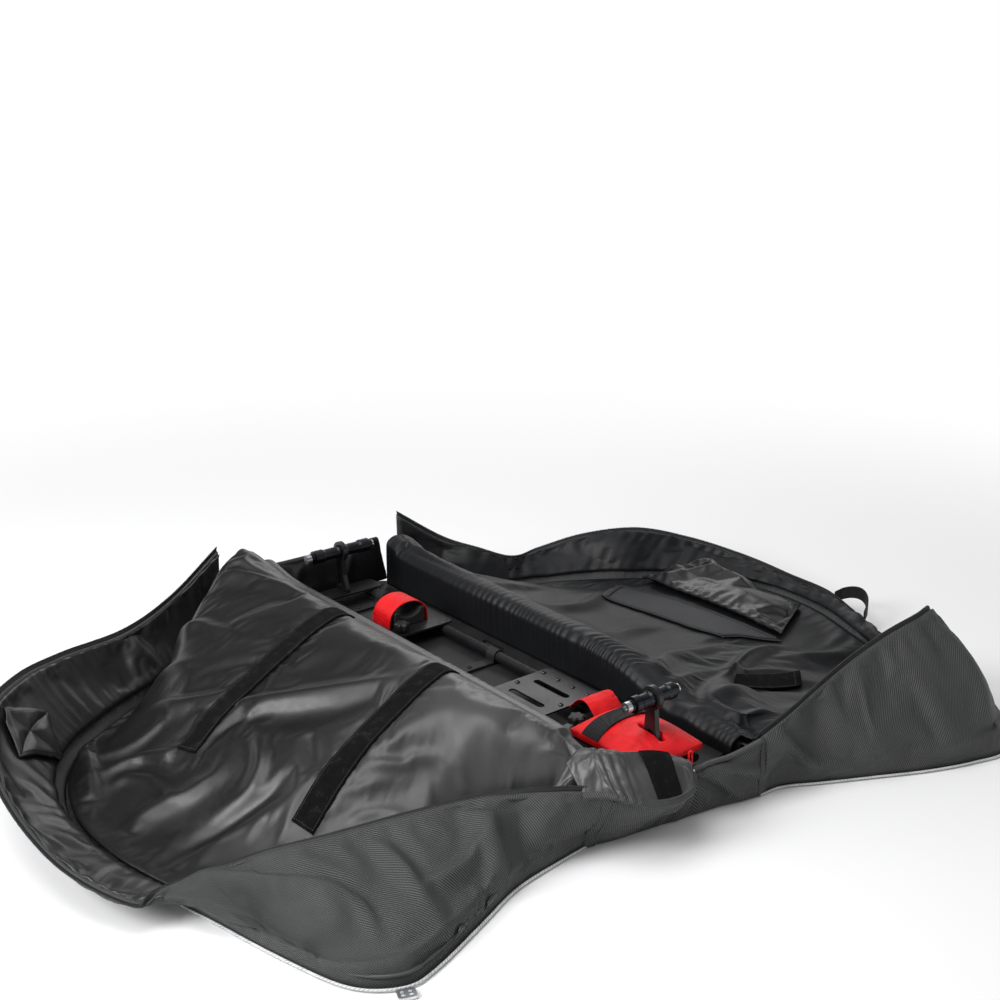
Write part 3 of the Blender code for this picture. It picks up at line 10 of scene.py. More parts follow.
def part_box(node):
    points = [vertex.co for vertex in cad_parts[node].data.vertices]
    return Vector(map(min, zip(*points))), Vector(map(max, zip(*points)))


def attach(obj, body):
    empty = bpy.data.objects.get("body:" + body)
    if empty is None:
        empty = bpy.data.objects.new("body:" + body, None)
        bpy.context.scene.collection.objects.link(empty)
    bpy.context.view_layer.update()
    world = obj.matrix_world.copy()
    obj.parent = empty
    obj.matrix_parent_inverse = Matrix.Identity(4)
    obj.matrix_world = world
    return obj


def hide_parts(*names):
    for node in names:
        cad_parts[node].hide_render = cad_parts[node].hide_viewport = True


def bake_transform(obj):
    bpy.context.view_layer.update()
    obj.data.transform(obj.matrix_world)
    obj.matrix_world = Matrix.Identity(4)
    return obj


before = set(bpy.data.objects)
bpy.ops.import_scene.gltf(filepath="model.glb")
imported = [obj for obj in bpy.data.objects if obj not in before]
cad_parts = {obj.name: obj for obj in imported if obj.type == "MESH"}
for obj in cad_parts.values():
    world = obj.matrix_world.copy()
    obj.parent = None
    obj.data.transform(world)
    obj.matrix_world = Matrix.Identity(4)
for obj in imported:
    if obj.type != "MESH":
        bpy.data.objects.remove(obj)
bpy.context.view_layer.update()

# Camera. It stands in front of the bag at chest height and looks down over the near half.
# The CAD centres the open bag on the origin, so the place of the tray's board gives the shift from the bag's own frame,
# in which the tray's middle line is y = 0 and the board's rear end x = -0.53.
board_rear_x = -0.530
board_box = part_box("tray_board")
bag = Vector((board_box[0].x - board_rear_x, (board_box[0].y + board_box[1].y) / 2, 0))
shift = np.array(bag)
lens = bpy.data.cameras.new("studio_camera")
lens.lens = 52.56
lens.sensor_width = 36
camera = bpy.data.objects.new("studio_camera", lens)
camera.location = Vector((1.852, -1.479, 1.193)) + bag
turned_left = math.radians(140.96)
tilted_down = math.radians(18.35)
level_reach = math.cos(tilted_down)
looking = Vector((math.cos(turned_left) * level_reach, math.sin(turned_left) * level_reach, -math.sin(tilted_down)))
camera.rotation_euler = looking.to_track_quat("-Z", "Y").to_euler()
bpy.context.scene.collection.objects.link(camera)
bpy.context.scene.camera = camera
bpy.context.scene.view_settings.view_transform = "Standard"

# Floor and light. A seamless pale studio floor that runs off into a white backdrop, a strong soft box in front of
# the bag, and weaker ones overhead and behind it. What glossy cloth mirrors is white low down, dark halfway up and
# pale overhead, as in a studio.


def node(tree, kind, links=None, stops=None, **settings):
    """Adds a node. Links holds input values or the sockets that feed them, and stops a ramp's places and colours."""
    made = tree.nodes.new(kind)
    for name, value in settings.items():
        setattr(made, name, value)
    for name, value in (links or {}).items():
        if isinstance(value, bpy.types.NodeSocket):
            tree.links.new(value, made.inputs[name])
        else:
            made.inputs[name].default_value = value
    if stops:
        elements = made.color_ramp.elements
        while len(elements) < len(stops):
            elements.new(0.5)
        for element, (place, colour) in zip(elements, stops):
            element.position = place
            element.color = rgb(colour)
    return made


def rgb(hex_colour):
    """A linear colour from an sRGB hex value."""
    channels = [int(hex_colour[k : k + 2], 16) / 255 for k in (0, 2, 4)]
    return (*(c / 12.92 if c <= 0.04045 else ((c + 0.055) / 1.055) ** 2.4 for c in channels), 1.0)


floor_reach = 60.0
floor_drop = 0.0015
backdrop_from = 0.9
backdrop_to = 2.6
floor_mesh = bpy.data.meshes.new("studio_floor")
corners = [(-floor_reach, -floor_reach, 0), (floor_reach, -floor_reach, 0), (floor_reach, floor_reach, 0)]
floor_mesh.from_pydata([*corners, (-floor_reach, floor_reach, 0)], [], [(0, 1, 2, 3)])
floor = bpy.data.objects.new("studio_floor", floor_mesh)
bpy.context.scene.collection.objects.link(floor)
paper = bpy.data.materials.new("pale_studio_paper")
paper.use_nodes = True
tree = paper.node_tree
shader = tree.nodes["Principled BSDF"]
shader.inputs["Base Color"].default_value = rgb("F8F8F9")
shader.inputs["Roughness"].default_value = 0.9
shader.inputs["Specular IOR Level"].default_value = 0.05
place = node(tree, "ShaderNodeTexCoord")
far_off = node(tree, "ShaderNodeVectorMath", {0: place.outputs["Object"]}, operation="LENGTH")
fading = node(
    tree,
    "ShaderNodeMapRange",
    {"Value": far_off.outputs["Value"], "From Min": backdrop_from, "From Max": backdrop_to},
    interpolation_type="SMOOTHSTEP",
)
rays = node(tree, "ShaderNodeLightPath")
in_sight = {0: rays.outputs["Is Camera Ray"], 1: rays.outputs["Is Glossy Ray"]}
seen = node(tree, "ShaderNodeMath", in_sight, operation="MAXIMUM")
share = node(tree, "ShaderNodeMath", {0: seen.outputs[0], 1: fading.outputs[0]}, operation="MULTIPLY")
white = node(tree, "ShaderNodeEmission", {"Color": rgb("FFFFFF"), "Strength": 1.0})
mixed = node(tree, "ShaderNodeMixShader", {0: share.outputs[0], 1: shader.outputs[0], 2: white.outputs[0]})
tree.links.new(mixed.outputs[0], tree.nodes["Material Output"].inputs["Surface"])
floor_mesh.materials.append(paper)
floor.location.z = -floor_drop

world = bpy.data.worlds.new("studio")
bpy.context.scene.world = world
world.use_nodes = True
tree = world.node_tree
tree.nodes.clear()
direction = node(tree, "ShaderNodeTexCoord")
split = node(tree, "ShaderNodeSeparateXYZ", {0: direction.outputs["Generated"]})
height_share = node(tree, "ShaderNodeMapRange", {"Value": split.outputs["Z"], "From Min": -1.0, "From Max": 1.0})
reflected = node(
    tree,
    "ShaderNodeValToRGB",
    {"Fac": height_share.outputs[0]},
    stops=((0.0, "FFFFFF"), (0.60, "FFFFFF"), (0.70, "343436"), (0.82, "343436"), (0.92, "D8D8DA"), (1.0, "F4F4F6")),
)
room_light = 0.43
soft_light = node(tree, "ShaderNodeBackground", {"Color": rgb("FFFFFF"), "Strength": room_light})
backdrop = node(tree, "ShaderNodeBackground", {"Color": rgb("FFFFFF"), "Strength": 1.0})
studio_round = node(tree, "ShaderNodeBackground", {"Color": reflected.outputs["Color"], "Strength": 1.0})
rays = node(tree, "ShaderNodeLightPath")
mirrored = {0: rays.outputs["Is Glossy Ray"], 1: soft_light.outputs[0], 2: studio_round.outputs[0]}
glossy = node(tree, "ShaderNodeMixShader", mirrored)
looked_at = {0: rays.outputs["Is Camera Ray"], 1: glossy.outputs[0], 2: backdrop.outputs[0]}
seen = node(tree, "ShaderNodeMixShader", looked_at)
node(tree, "ShaderNodeOutputWorld", {0: seen.outputs[0]})

# Each lamp's name, place, width in metres and power in watts.
for name, place, size, power in (
    ("overhead_softbox", (0.0, -0.85, 2.6), 1.7, 32),
    ("front_softbox", (-0.3, -2.8, 1.9), 1.5, 78),
    ("back_softbox", (-1.9, 1.9, 1.5), 1.2, 10),
):
    lamp = bpy.data.lights.new(name, "AREA")
    lamp.shape = "SQUARE"
    lamp.size = size
    lamp.energy = power
    holder = bpy.data.objects.new(name, lamp)
    holder.location = place
    holder.rotation_euler = (-Vector(place)).to_track_quat("-Z", "Y").to_euler()
    bpy.context.scene.collection.objects.link(holder)

# Lines of the near half. The padded side panel is sewn to a band of twill, the gusset, along a seam that lies on the
# floor, and the band's free edge carries half of the zip. The seam and the zip's edge are smooth curves through these
# places, which run from the tray's front corner round the outside to its rear corner.
# Each is the seam's x, its reach out from the tray, the zip edge's x, its reach and its height, as shares of the tray's
# length, of a panel's reach and of the zip's height.
tray_length = 1.0
panel_reach = 0.6
zip_height = 0.2
fold_y = 0.14
near_places = (
    (0.432, 0.03, 0.478, 0.03, 0.54),
    (0.440, 0.15, 0.430, 0.12, 0.55),
    (0.455, 0.30, 0.360, 0.27, 0.51),
    (0.490, 0.45, 0.315, 0.45, 0.46),
    (0.530, 0.63, 0.275, 0.63, 0.40),
    (0.535, 0.72, 0.245, 0.75, 0.36),
    (0.490, 0.81, 0.225, 0.84, 0.31),
    (0.380, 0.87, 0.212, 0.92, 0.27),
    (0.250, 0.92, 0.205, 1.01, 0.24),
    (0.150, 0.96, 0.205, 1.08, 0.20),
    (0.030, 1.00, 0.080, 1.17, 0.32),
    (-0.100, 1.00, -0.090, 1.19, 0.55),
    (-0.220, 0.94, -0.250, 1.12, 0.75),
    (-0.310, 0.83, -0.370, 0.96, 0.72),
    (-0.370, 0.69, -0.455, 0.77, 0.62),
    (-0.430, 0.52, -0.510, 0.53, 0.56),
    (-0.500, 0.33, -0.555, 0.33, 0.68),
    (-0.540, 0.13, -0.580, 0.14, 1.00),
)
near_fold_places = (
    0.42, 0.39, 0.36, 0.32, 0.27, 0.22, 0.16, 0.10, 0.05,
    0.0, -0.06, -0.14, -0.24, -0.33, -0.40, -0.45, -0.49, -0.52,
)  # fmt: skip
curve_steps = 8


def through(spots, steps):
    """A smooth curve through spots, with so many steps from each to the next."""
    spots = np.asarray(spots, float)
    spots = np.concatenate([2 * spots[:1] - spots[1:2], spots, 2 * spots[-1:] - spots[-2:-1]])
    found = []
    for a, b, c, d in zip(spots, spots[1:], spots[2:], spots[3:]):
        for s in np.arange(steps) / steps:
            spot = 2 * b + (c - a) * s + (2 * a - 5 * b + 4 * c - d) * s * s + (3 * b - a - 3 * c + d) * s**3
            found.append(spot / 2)
    return np.array([*found, spots[-2]])


def evenly(line, count, *others):
    """The line, and others that run beside it, at so many places equally far apart along the line."""
    steps = np.linalg.norm(np.diff(line, axis=0), axis=1)
    along = np.concatenate([[0.0], np.cumsum(steps)])
    wanted = np.linspace(0, along[-1], count)
    made = []
    for one in (line, *others):
        one = one.reshape(len(one), -1)
        made.append(np.stack([np.interp(wanted, along, one[:, k]) for k in range(one.shape[1])], 1))
    return made


def half_lines(side, places, folds, count):
    """The seam, the zip's edge, the outward direction and the fold's x of a half, all at the same places."""
    places = np.array(places)
    seam_y, rim_y = (side * (fold_y + places[:, k] * panel_reach) for k in (1, 3))
    seam = np.stack([places[:, 0] * tray_length, seam_y, 0 * seam_y], 1)
    rim = np.stack([places[:, 2] * tray_length, rim_y, places[:, 4] * zip_height], 1)
    fold = np.array(folds)[:, None] * tray_length
    seam, rim, fold = (through(line, curve_steps) for line in (seam, rim, fold))
    seam, rim, fold = evenly(seam, count, rim, fold)
    along = np.gradient(seam, axis=0)
    out = np.stack([along[:, 1], -along[:, 0], 0 * along[:, 0]], 1) * side
    out /= np.linalg.norm(out, axis=1, keepdims=True)
    return seam + shift, rim + shift, out, fold[:, 0] + bag.x


near_columns = 300
near_seam, near_rim, near_out, near_fold_x = half_lines(-1, near_places, near_fold_places, near_columns)

# Near gusset. One band of ribbed 600 denier polyester twill, coated inside, so it stands in stiff broad folds and
# small sharp creases. It is sewn to the panel at the floor and to the zip's tape at its free edge, and a glossy
# padded lining is sewn inside it, which the zip's seam gathers into small puckers. Lengths are in metres, and a
# slack is the share by which cloth is cut too long.
gusset_rows = 32
foot_rise = 0.024
foot_share = 0.10
belly = 0.012
twill_thickness = 0.0022
twill_slack = 0.035
twill_stiffness = 2.0
largest_buckle = 0.010
lining_gap = 0.0075
lining_thickness = 0.003
lining_slack = twill_slack * 0.6
lining_buckle = 0.003
lining_stiffness = 1.5
band_padding = 0.009
pucker_width = 0.034
pucker_at_zip = 0.0050
pucker_at_seam = 0.0032
tight_bend = 0.035


def band(seam, rim, out, rows):
    """The grid of a gusset: upright at its seam on the floor, and then up to the zip with a slight belly."""
    grid = []
    for t in np.linspace(0, 1, rows):
        lift = foot_rise * (1 - t) * min(1.0, t / foot_share)
        spot = seam + (rim - seam) * t + out * belly * math.sin(math.pi * t)
        spot[:, 2] += lift
        grid.append(spot)
    return np.array(grid)


def lengths(grid):
    """Each point's distance along the cloth in metres, along a row and up a column."""
    across = np.linalg.norm(np.diff(grid, axis=1), axis=2).mean(0)
    up = np.linalg.norm(np.diff(grid, axis=0), axis=2)
    u = np.concatenate([[0.0], np.cumsum(across)])[None, :].repeat(len(grid), 0)
    v = np.concatenate([np.zeros((1, grid.shape[1])), np.cumsum(up, axis=0)])
    return u, v


def normals(grid):
    """Unit normals of a grid of points."""
    found = np.cross(np.gradient(grid, axis=1), np.gradient(grid, axis=0))
    return found / np.maximum(np.linalg.norm(found, axis=2, keepdims=True), 1e-12)


def cloth(name, grid, upward=True):
    """A sheet of cloth from a grid of points, with a UV map in metres. Its faces point up, down, or as they come."""
    rows, columns = grid.shape[:2]
    number = np.arange(rows * columns).reshape(rows, columns)
    faces = np.stack([number[:-1, :-1], number[:-1, 1:], number[1:, 1:], number[1:, :-1]], 2).reshape(-1, 4)
    if upward is not None and (normals(grid)[..., 2].sum() > 0) != upward:
        faces = faces[:, ::-1]
    mesh = bpy.data.meshes.new(name)
    mesh.from_pydata(grid.reshape(-1, 3).tolist(), [], faces.tolist())
    u, v = lengths(grid)
    weave = mesh.uv_layers.new(name="weave")
    corners = faces.reshape(-1)
    weave.data.foreach_set("uv", np.stack([u.reshape(-1)[corners], v.reshape(-1)[corners]], 1).reshape(-1))
    mesh.shade_smooth()
    made = bpy.data.objects.new(name, mesh)
    bpy.context.scene.collection.objects.link(made)
    return made


def points_of(piece):
    """The points of a piece's mesh as an array."""
    found = np.empty(len(piece.data.vertices) * 3, np.float32)
    piece.data.vertices.foreach_get("co", found)
    return found.reshape(-1, 3).astype(float)


def put_points(piece, points):
    """Moves the points of a piece's mesh."""
    piece.data.vertices.foreach_set("co", points.astype(np.float32).reshape(-1))
    piece.data.update()


def normals_of(piece):
    """The normals at the points of a piece's mesh."""
    found = np.empty(len(piece.data.vertices) * 3, np.float32)
    piece.data.vertices.foreach_get("normal", found)
    return found.reshape(-1, 3).astype(float)


def softened(values, rounds, fixed=1):
    """A grid of values with its corners rounded off, and so many of its first and last rows kept."""
    values = values.copy()
    for _ in range(rounds):
        padded = np.pad(values, 1, mode="edge")
        mean = (padded[:-2, 1:-1] + padded[2:, 1:-1] + padded[1:-1, :-2] + padded[1:-1, 2:]) / 4
        inside = slice(fixed, len(values) - fixed)
        values[inside] = (values + (mean - values) * 0.6)[inside]
    return values


def settle(piece, held, slack, most, bending, frames=11, pressure=0.0):
    """Lets cloth with some slack buckle into folds between the points that hold it, by a cloth simulation.

    Slack is the share by which the cloth is too long, and most is the furthest that a point may move.
    """
    start = points_of(piece)
    group = piece.vertex_groups.new(name="held")
    held = held.reshape(-1)
    for index in np.nonzero(held > 0)[0]:
        group.add([int(index)], float(held[index]), "REPLACE")
    modifier = piece.modifiers.new("settling", "CLOTH")
    settings = modifier.settings
    settings.quality = 3
    settings.mass = 0.25
    settings.tension_stiffness = 12
    settings.compression_stiffness = 12
    settings.shear_stiffness = 4
    settings.bending_stiffness = bending
    settings.air_damping = 3
    settings.vertex_group_mass = "held"
    settings.shrink_min = -slack
    settings.shrink_max = -slack
    settings.effector_weights.gravity = 0.0
    if pressure:
        settings.use_pressure = True
        settings.uniform_pressure_force = pressure
    modifier.collision_settings.use_collision = False
    modifier.collision_settings.use_self_collision = False
    modifier.point_cache.frame_start = 1
    modifier.point_cache.frame_end = frames
    for number in range(1, frames + 1):
        bpy.context.scene.frame_set(number)
    graph = bpy.context.evaluated_depsgraph_get()
    settled = piece.evaluated_get(graph).to_mesh()
    moved = np.empty(len(settled.vertices) * 3, np.float32)
    settled.vertices.foreach_get("co", moved)
    moved = moved.reshape(-1, 3).astype(float) - start
    far = np.linalg.norm(moved, axis=1, keepdims=True)
    moved *= np.tanh(far / most) * most / np.maximum(far, 1e-9)
    piece.evaluated_get(graph).to_mesh_clear()
    piece.modifiers.remove(modifier)
    piece.vertex_groups.clear()
    bpy.context.scene.frame_set(1)
    put_points(piece, start + moved)


def finish_with(piece, kind, **settings):
    """Applies one modifier to a piece, such as the thickness of its cloth."""
    modifier = piece.modifiers.new("finishing", kind)
    for name, value in settings.items():
        setattr(modifier, name, value)
    graph = bpy.context.evaluated_depsgraph_get()
    mesh = bpy.data.meshes.new_from_object(piece.evaluated_get(graph))
    piece.modifiers.remove(modifier)
    piece.data = mesh


def dress(piece, material, slot, body=None, *stands_for):
    """Gives a piece its material, the body it rides on and the CAD nodes it stands for. Its slot is not used."""
    piece.data.materials.clear()
    piece.data.materials.append(material)
    if stands_for:
        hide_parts(*stands_for)
    if body:
        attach(piece, body)


def press(points, across, folds, strength=1.0):
    """Lays folds into cloth. Each is a height, a half width, a lean to one side, and the places of its crest.

    A place with no height takes that of the cloth nearest to it. A fold fades out towards both its ends.
    """
    moved = points.copy()
    flat = points.reshape(-1, 3)
    for height, width, lean, *places in folds:
        crest = []
        for spot in places:
            spot = np.array([*spot, 0.0][:3]) + shift
            if not spot[2]:
                spot[2] = flat[np.argmin(np.linalg.norm(flat[:, :2] - spot[:2], axis=1)), 2]
            crest.append(spot)
        crest = evenly(through(crest, 6), 8 * len(places))[0]
        nearest = np.full(len(flat), 1e9)
        lateral = np.zeros(len(flat))
        along = np.zeros(len(flat))
        for k, (a, b) in enumerate(zip(crest, crest[1:])):
            way = b - a
            s = np.clip(((flat - a) @ way) / (way @ way), 0, 1)
            offset = flat - a - s[:, None] * way
            far = np.linalg.norm(offset, axis=1)
            closer = far < nearest
            nearest = np.where(closer, far, nearest)
            turn = np.cross(way, across.reshape(-1, 3))
            lateral = np.where(closer, np.sign((offset * turn).sum(1)), lateral)
            along = np.where(closer, (k + s) / (len(crest) - 1), along)
        spread = width * (1 + lean * lateral)
        fade = np.sin(np.pi * np.clip(along * 0.96 + 0.02, 0, 1)) ** 0.6
        rise = strength * height * fade * np.exp(-((nearest / spread) ** 2))
        moved += (across.reshape(-1, 3) * rise[:, None]).reshape(points.shape)
    return moved


def start_material(name, colour, roughness, metallic=0.0, **more):
    """A material with its shader, and the tree to build its pattern in."""
    made = bpy.data.materials.new(name)
    made.use_nodes = True
    shader = made.node_tree.nodes["Principled BSDF"]
    shader.inputs["Base Color"].default_value = rgb(colour)
    shader.inputs["Roughness"].default_value = roughness
    shader.inputs["Metallic"].default_value = metallic
    for name, value in more.items():
        shader.inputs[name.replace("_", " ")].default_value = value
    return made, made.node_tree, shader


def tint(tree, shader, value, stops):
    """Colours a material by the value of its pattern."""
    colour = node(tree, "ShaderNodeValToRGB", {"Fac": value}, stops=stops)
    tree.links.new(colour.outputs[0], shader.inputs["Base Color"])


def emboss(tree, shader, value, distance, strength, **more):
    """Raises a material's surface by the value of its pattern, over a distance in metres."""
    relief = node(tree, "ShaderNodeBump", {"Height": value, "Distance": distance, "Strength": strength}, **more)
    tree.links.new(relief.outputs[0], shader.inputs["Normal"])


def edge_hold(grid, least=0.0):
    """How firmly each point of a grid is held: fully along its sewn edges, and least in its middle."""
    held = np.ones(grid.shape[:2])
    held[2:-2, 2:-2] = least
    return held


def metre_waves(period):
    """The scale of a wave texture whose bands lie one period apart, in metres."""
    return math.tau / (20 * period)


# Woven polyester, 600 denier: charcoal diagonal ribs, matt with a faint sheen where they catch the light. The real
# ribs are about 1 mm apart, and they are drawn 2.6 mm apart here so that they show.
rib_pitch = 0.0026


def twill_of(name, by_surface):
    """Ribbed twill, its ribs on the cloth's own UV map, or in the piece's space where it has none."""
    made, tree, shader = start_material(name, "232425", 0.5, Specular_IOR_Level=0.35)
    if by_surface:
        where = node(tree, "ShaderNodeUVMap", uv_map="weave").outputs["UV"]
    else:
        where = node(tree, "ShaderNodeTexCoord").outputs["Object"]
    turned = node(tree, "ShaderNodeMapping", {"Vector": where, "Rotation": (0.5, 0.35, math.radians(38))})
    scale = metre_waves(rib_pitch)
    wave = {"Vector": turned.outputs[0], "Scale": scale, "Distortion": 1.1, "Detail": 2.0, "Detail Scale": 0.6}
    ribs = node(tree, "ShaderNodeTexWave", wave, wave_type="BANDS", bands_direction="X", wave_profile="SIN")
    cross_wave = {"Vector": turned.outputs[0], "Scale": scale * 1.1, "Distortion": 0.8}
    threads = node(tree, "ShaderNodeTexWave", cross_wave, wave_type="BANDS", bands_direction="Y", wave_profile="SIN")
    speckle = node(tree, "ShaderNodeTexNoise", {"Vector": where, "Scale": 650.0, "Detail": 3.0, "Roughness": 0.7})
    patches = node(tree, "ShaderNodeTexNoise", {"Vector": where, "Scale": 7.0, "Detail": 4.0})
    woven = node(tree, "ShaderNodeMath", {0: threads.outputs["Fac"], 1: 0.35}, operation="MULTIPLY")
    raised = {0: ribs.outputs["Fac"], 1: 0.65, 2: woven.outputs[0]}
    raised = node(tree, "ShaderNodeMath", raised, operation="MULTIPLY_ADD")
    grainy = {0: speckle.outputs["Fac"], 1: 0.5, 2: raised.outputs[0]}
    grainy = node(tree, "ShaderNodeMath", grainy, operation="MULTIPLY_ADD")
    toned = {0: patches.outputs["Fac"], 1: 0.22, 2: grainy.outputs[0]}
    toned = node(tree, "ShaderNodeMath", toned, operation="MULTIPLY_ADD")
    tint(tree, shader, toned.outputs[0], ((0.30, "101010"), (0.75, "2A2B2B"), (1.0, "505151")))
    gloss = node(tree, "ShaderNodeMapRange", {"Value": grainy.outputs[0], "To Min": 0.66, "To Max": 0.46})
    tree.links.new(gloss.outputs[0], shader.inputs["Roughness"])
    emboss(tree, shader, grainy.outputs[0], 0.0009, 0.8)
    return made


twill = twill_of("ribbed_polyester_twill", True)
moulded_twill = twill_of("ribbed_polyester_twill_formed", False)


def taffeta_of(name, colours, roughness, by_surface=True, wear_and_painted_sheen=None, **more):
    """Coated nylon taffeta: faint creases some 70 mm apart, a crinkle of 9 mm, and threads drawn 0.7 mm apart.

    The painted sheen is a colour, and the distances from the front end at which it begins to fade and is gone.
    """
    made, tree, shader = start_material(name, colours[0], roughness[0], **more)
    if by_surface:
        where = node(tree, "ShaderNodeUVMap", uv_map="weave").outputs["UV"]
    else:
        where = node(tree, "ShaderNodeTexCoord").outputs["Object"]
    drawn = node(tree, "ShaderNodeMapping", {"Vector": where, "Scale": (1.0, 0.6, 1.0)})
    crease = {"Vector": drawn.outputs[0], "Scale": 14.0, "Detail": 2.0, "Roughness": 0.4, "Distortion": 0.3}
    creases = node(tree, "ShaderNodeTexNoise", crease)
    fine = node(tree, "ShaderNodeTexNoise", {"Vector": where, "Scale": 110.0, "Detail": 1.0, "Distortion": 0.3})
    threads = node(tree, "ShaderNodeTexNoise", {"Vector": where, "Scale": 1400.0, "Detail": 1.0})
    crinkled = {0: fine.outputs["Fac"], 1: 0.05, 2: creases.outputs["Fac"]}
    summed = node(tree, "ShaderNodeMath", crinkled, operation="MULTIPLY_ADD")
    relief = node(tree, "ShaderNodeBump", {"Height": summed.outputs[0], "Distance": 0.010, "Strength": 0.19})
    grain = {"Height": threads.outputs["Fac"], "Distance": 0.0003, "Strength": 0.2, "Normal": relief.outputs[0]}
    tree.links.new(node(tree, "ShaderNodeBump", grain).outputs[0], shader.inputs["Normal"])
    tone = node(tree, "ShaderNodeTexNoise", {"Vector": where, "Scale": 5.0, "Detail": 5.0})
    stops = ((0.3, colours[0]), (0.7, colours[1]))
    colour = node(tree, "ShaderNodeValToRGB", {"Fac": tone.outputs["Fac"]}, stops=stops)
    tree.links.new(colour.outputs[0], shader.inputs["Base Color"])
    # A painted sheen: grey mixed into the base colour near the front end, in place of the light the cloth mirrors
    # there.
    if wear_and_painted_sheen:
        along = node(tree, "ShaderNodeSeparateXYZ", {0: where})
        fading = {"Value": along.outputs["X"], "From Min": wear_and_painted_sheen[1], "From Max": wear_and_painted_sheen[2], "To Min": 1.0, "To Max": 0.0}
        share = node(tree, "ShaderNodeMapRange", fading, interpolation_type="SMOOTHSTEP")
        both = {0: share.outputs[0], 6: colour.outputs[0], 7: rgb(wear_and_painted_sheen[0])}
        mixed = node(tree, "ShaderNodeMix", both, data_type="RGBA")
        tree.links.new(mixed.outputs[2], shader.inputs["Base Color"])
    gloss = {"Value": fine.outputs["Fac"], "To Min": roughness[0], "To Max": roughness[1]}
    tree.links.new(node(tree, "ShaderNodeMapRange", gloss).outputs[0], shader.inputs["Roughness"])
    return made


# Lining of the near half: black nylon with a glossy coating, whose folds carry broad whitish sheens. Over its first
# 0.3 m from the front its colour is a painted grey sheen, for the pale light it mirrors there, fading out by 0.66 m.
glossy_nylon = taffeta_of("glossy_coated_nylon", ("0C0C0D", "131314"), (0.31, 0.43), wear_and_painted_sheen=("3E3E3F", 0.28, 0.66))
# A paler copy of the glossy nylon for the band's lining and the corner tab: the extra grey is painted sheen.
band_nylon_painted_sheen = taffeta_of("glossy_coated_nylon_band_painted_sheen", ("1A1A1B", "28282A"), (0.28, 0.40))
glossy_pad = taffeta_of("glossy_coated_nylon_formed", ("101011", "19191B"), (0.24, 0.36), False)

# Stiff folds that stand in the band. Each is a height, a half width, a lean to one side, and its crest's places.
near_twist_folds = (
    (0.018, 0.022, 0.2, (0.380, -0.305, 0.092), (0.415, -0.330, 0.065), (0.450, -0.345, 0.025)),
    (0.011, 0.013, -0.2, (0.405, -0.345, 0.070), (0.425, -0.385, 0.057), (0.430, -0.450, 0.052)),
    (0.008, 0.009, 0.0, (0.345, -0.575, 0.062), (0.410, -0.556, 0.052), (0.470, -0.566, 0.036)),
    (0.016, 0.020, 0.2, (0.200, -0.700, 0.048), (0.291, -0.639, 0.060), (0.343, -0.591, 0.062), (0.405, -0.565, 0.052)),
    (-0.012, 0.020, 0.0, (0.385, -0.262, 0.094), (0.425, -0.275, 0.058), (0.445, -0.280, 0.020)),
    (0.012, 0.016, 0.1, (0.330, -0.470, 0.085), (0.400, -0.470, 0.055), (0.480, -0.480, 0.015)),
    (0.006, 0.016, 0.0, (0.210, -0.735, 0.042), (0.270, -0.705, 0.040), (0.340, -0.670, 0.036)),
    (-0.008, 0.014, 0.0, (0.230, -0.660, 0.062), (0.300, -0.600, 0.068), (0.350, -0.560, 0.070)),
)


def outward(grid, out):
    """The normals of a gusset's grid, turned to its outside."""
    found = normals(grid)
    return found if (found * out[None]).sum() > 0 else -found


def gusset(label, seam, rim, out, folds, lining_nylon, lining_slot):
    """The outer twill of a half's gusset and the puckered lining inside it, with the grids that both follow."""
    grid = band(seam, rim, out, gusset_rows)
    away = outward(grid, out)
    outside_up = (normals(grid)[..., 2].sum() > 0) == ((normals(grid) * out[None]).sum() > 0)
    twill_band = cloth(f"{label}_gusset_twill", press(grid, away, folds), outside_up)
    settle(twill_band, edge_hold(grid), twill_slack, largest_buckle, twill_stiffness)
    settled = points_of(twill_band).reshape(grid.shape)
    finish_with(twill_band, "SOLIDIFY", thickness=twill_thickness, offset=0.0)
    dress(twill_band, twill, "twill", f"{label}_half", f"{label}_front_gusset", f"{label}_top_gusset")
    for axis in range(3):
        settled[..., axis] = softened(settled[..., axis], 4, 2)
    away = outward(settled, out)
    u, v = lengths(settled[3:-1])
    reach = v / v[-1]
    # The puckers are spaced unevenly, as sewing leaves them.
    wander = 0.05 * np.sin(u * 9.0) + 0.021 * np.sin(u * 23.0 + 1.3)
    depth = pucker_at_zip * reach**2 + pucker_at_seam * (1 - reach) ** 2
    puckers = np.sin((u + wander) / pucker_width * math.pi) * depth
    pad = band_padding * np.sin(math.pi * reach)
    # Where the band turns tightly the lining lies closer to it, so that it doesn't fold over itself.
    bend = np.linalg.norm(np.gradient(away, axis=1), axis=2) / np.linalg.norm(np.gradient(settled, axis=1), axis=2)
    room = 1 / (1 + (softened(bend, 12, 2) * tight_bend) ** 2)
    inner = settled[3:-1] - away[3:-1] * ((lining_gap + np.abs(puckers) + pad) * room[3:-1])[..., None]
    for axis in range(3):
        inner[..., axis] = softened(inner[..., axis], 2)
    lining = cloth(f"{label}_gusset_lining", inner, not outside_up)
    settle(lining, edge_hold(inner), lining_slack, lining_buckle, lining_stiffness)
    inner = points_of(lining).reshape(inner.shape)
    finish_with(lining, "SOLIDIFY", thickness=lining_thickness, offset=-1.0)
    dress(lining, lining_nylon, lining_slot, f"{label}_half")
    return grid, inner


near_band, near_inside = gusset(
    "near", near_seam, near_rim, near_out, near_twist_folds, band_nylon_painted_sheen, "lining_gloss"
)

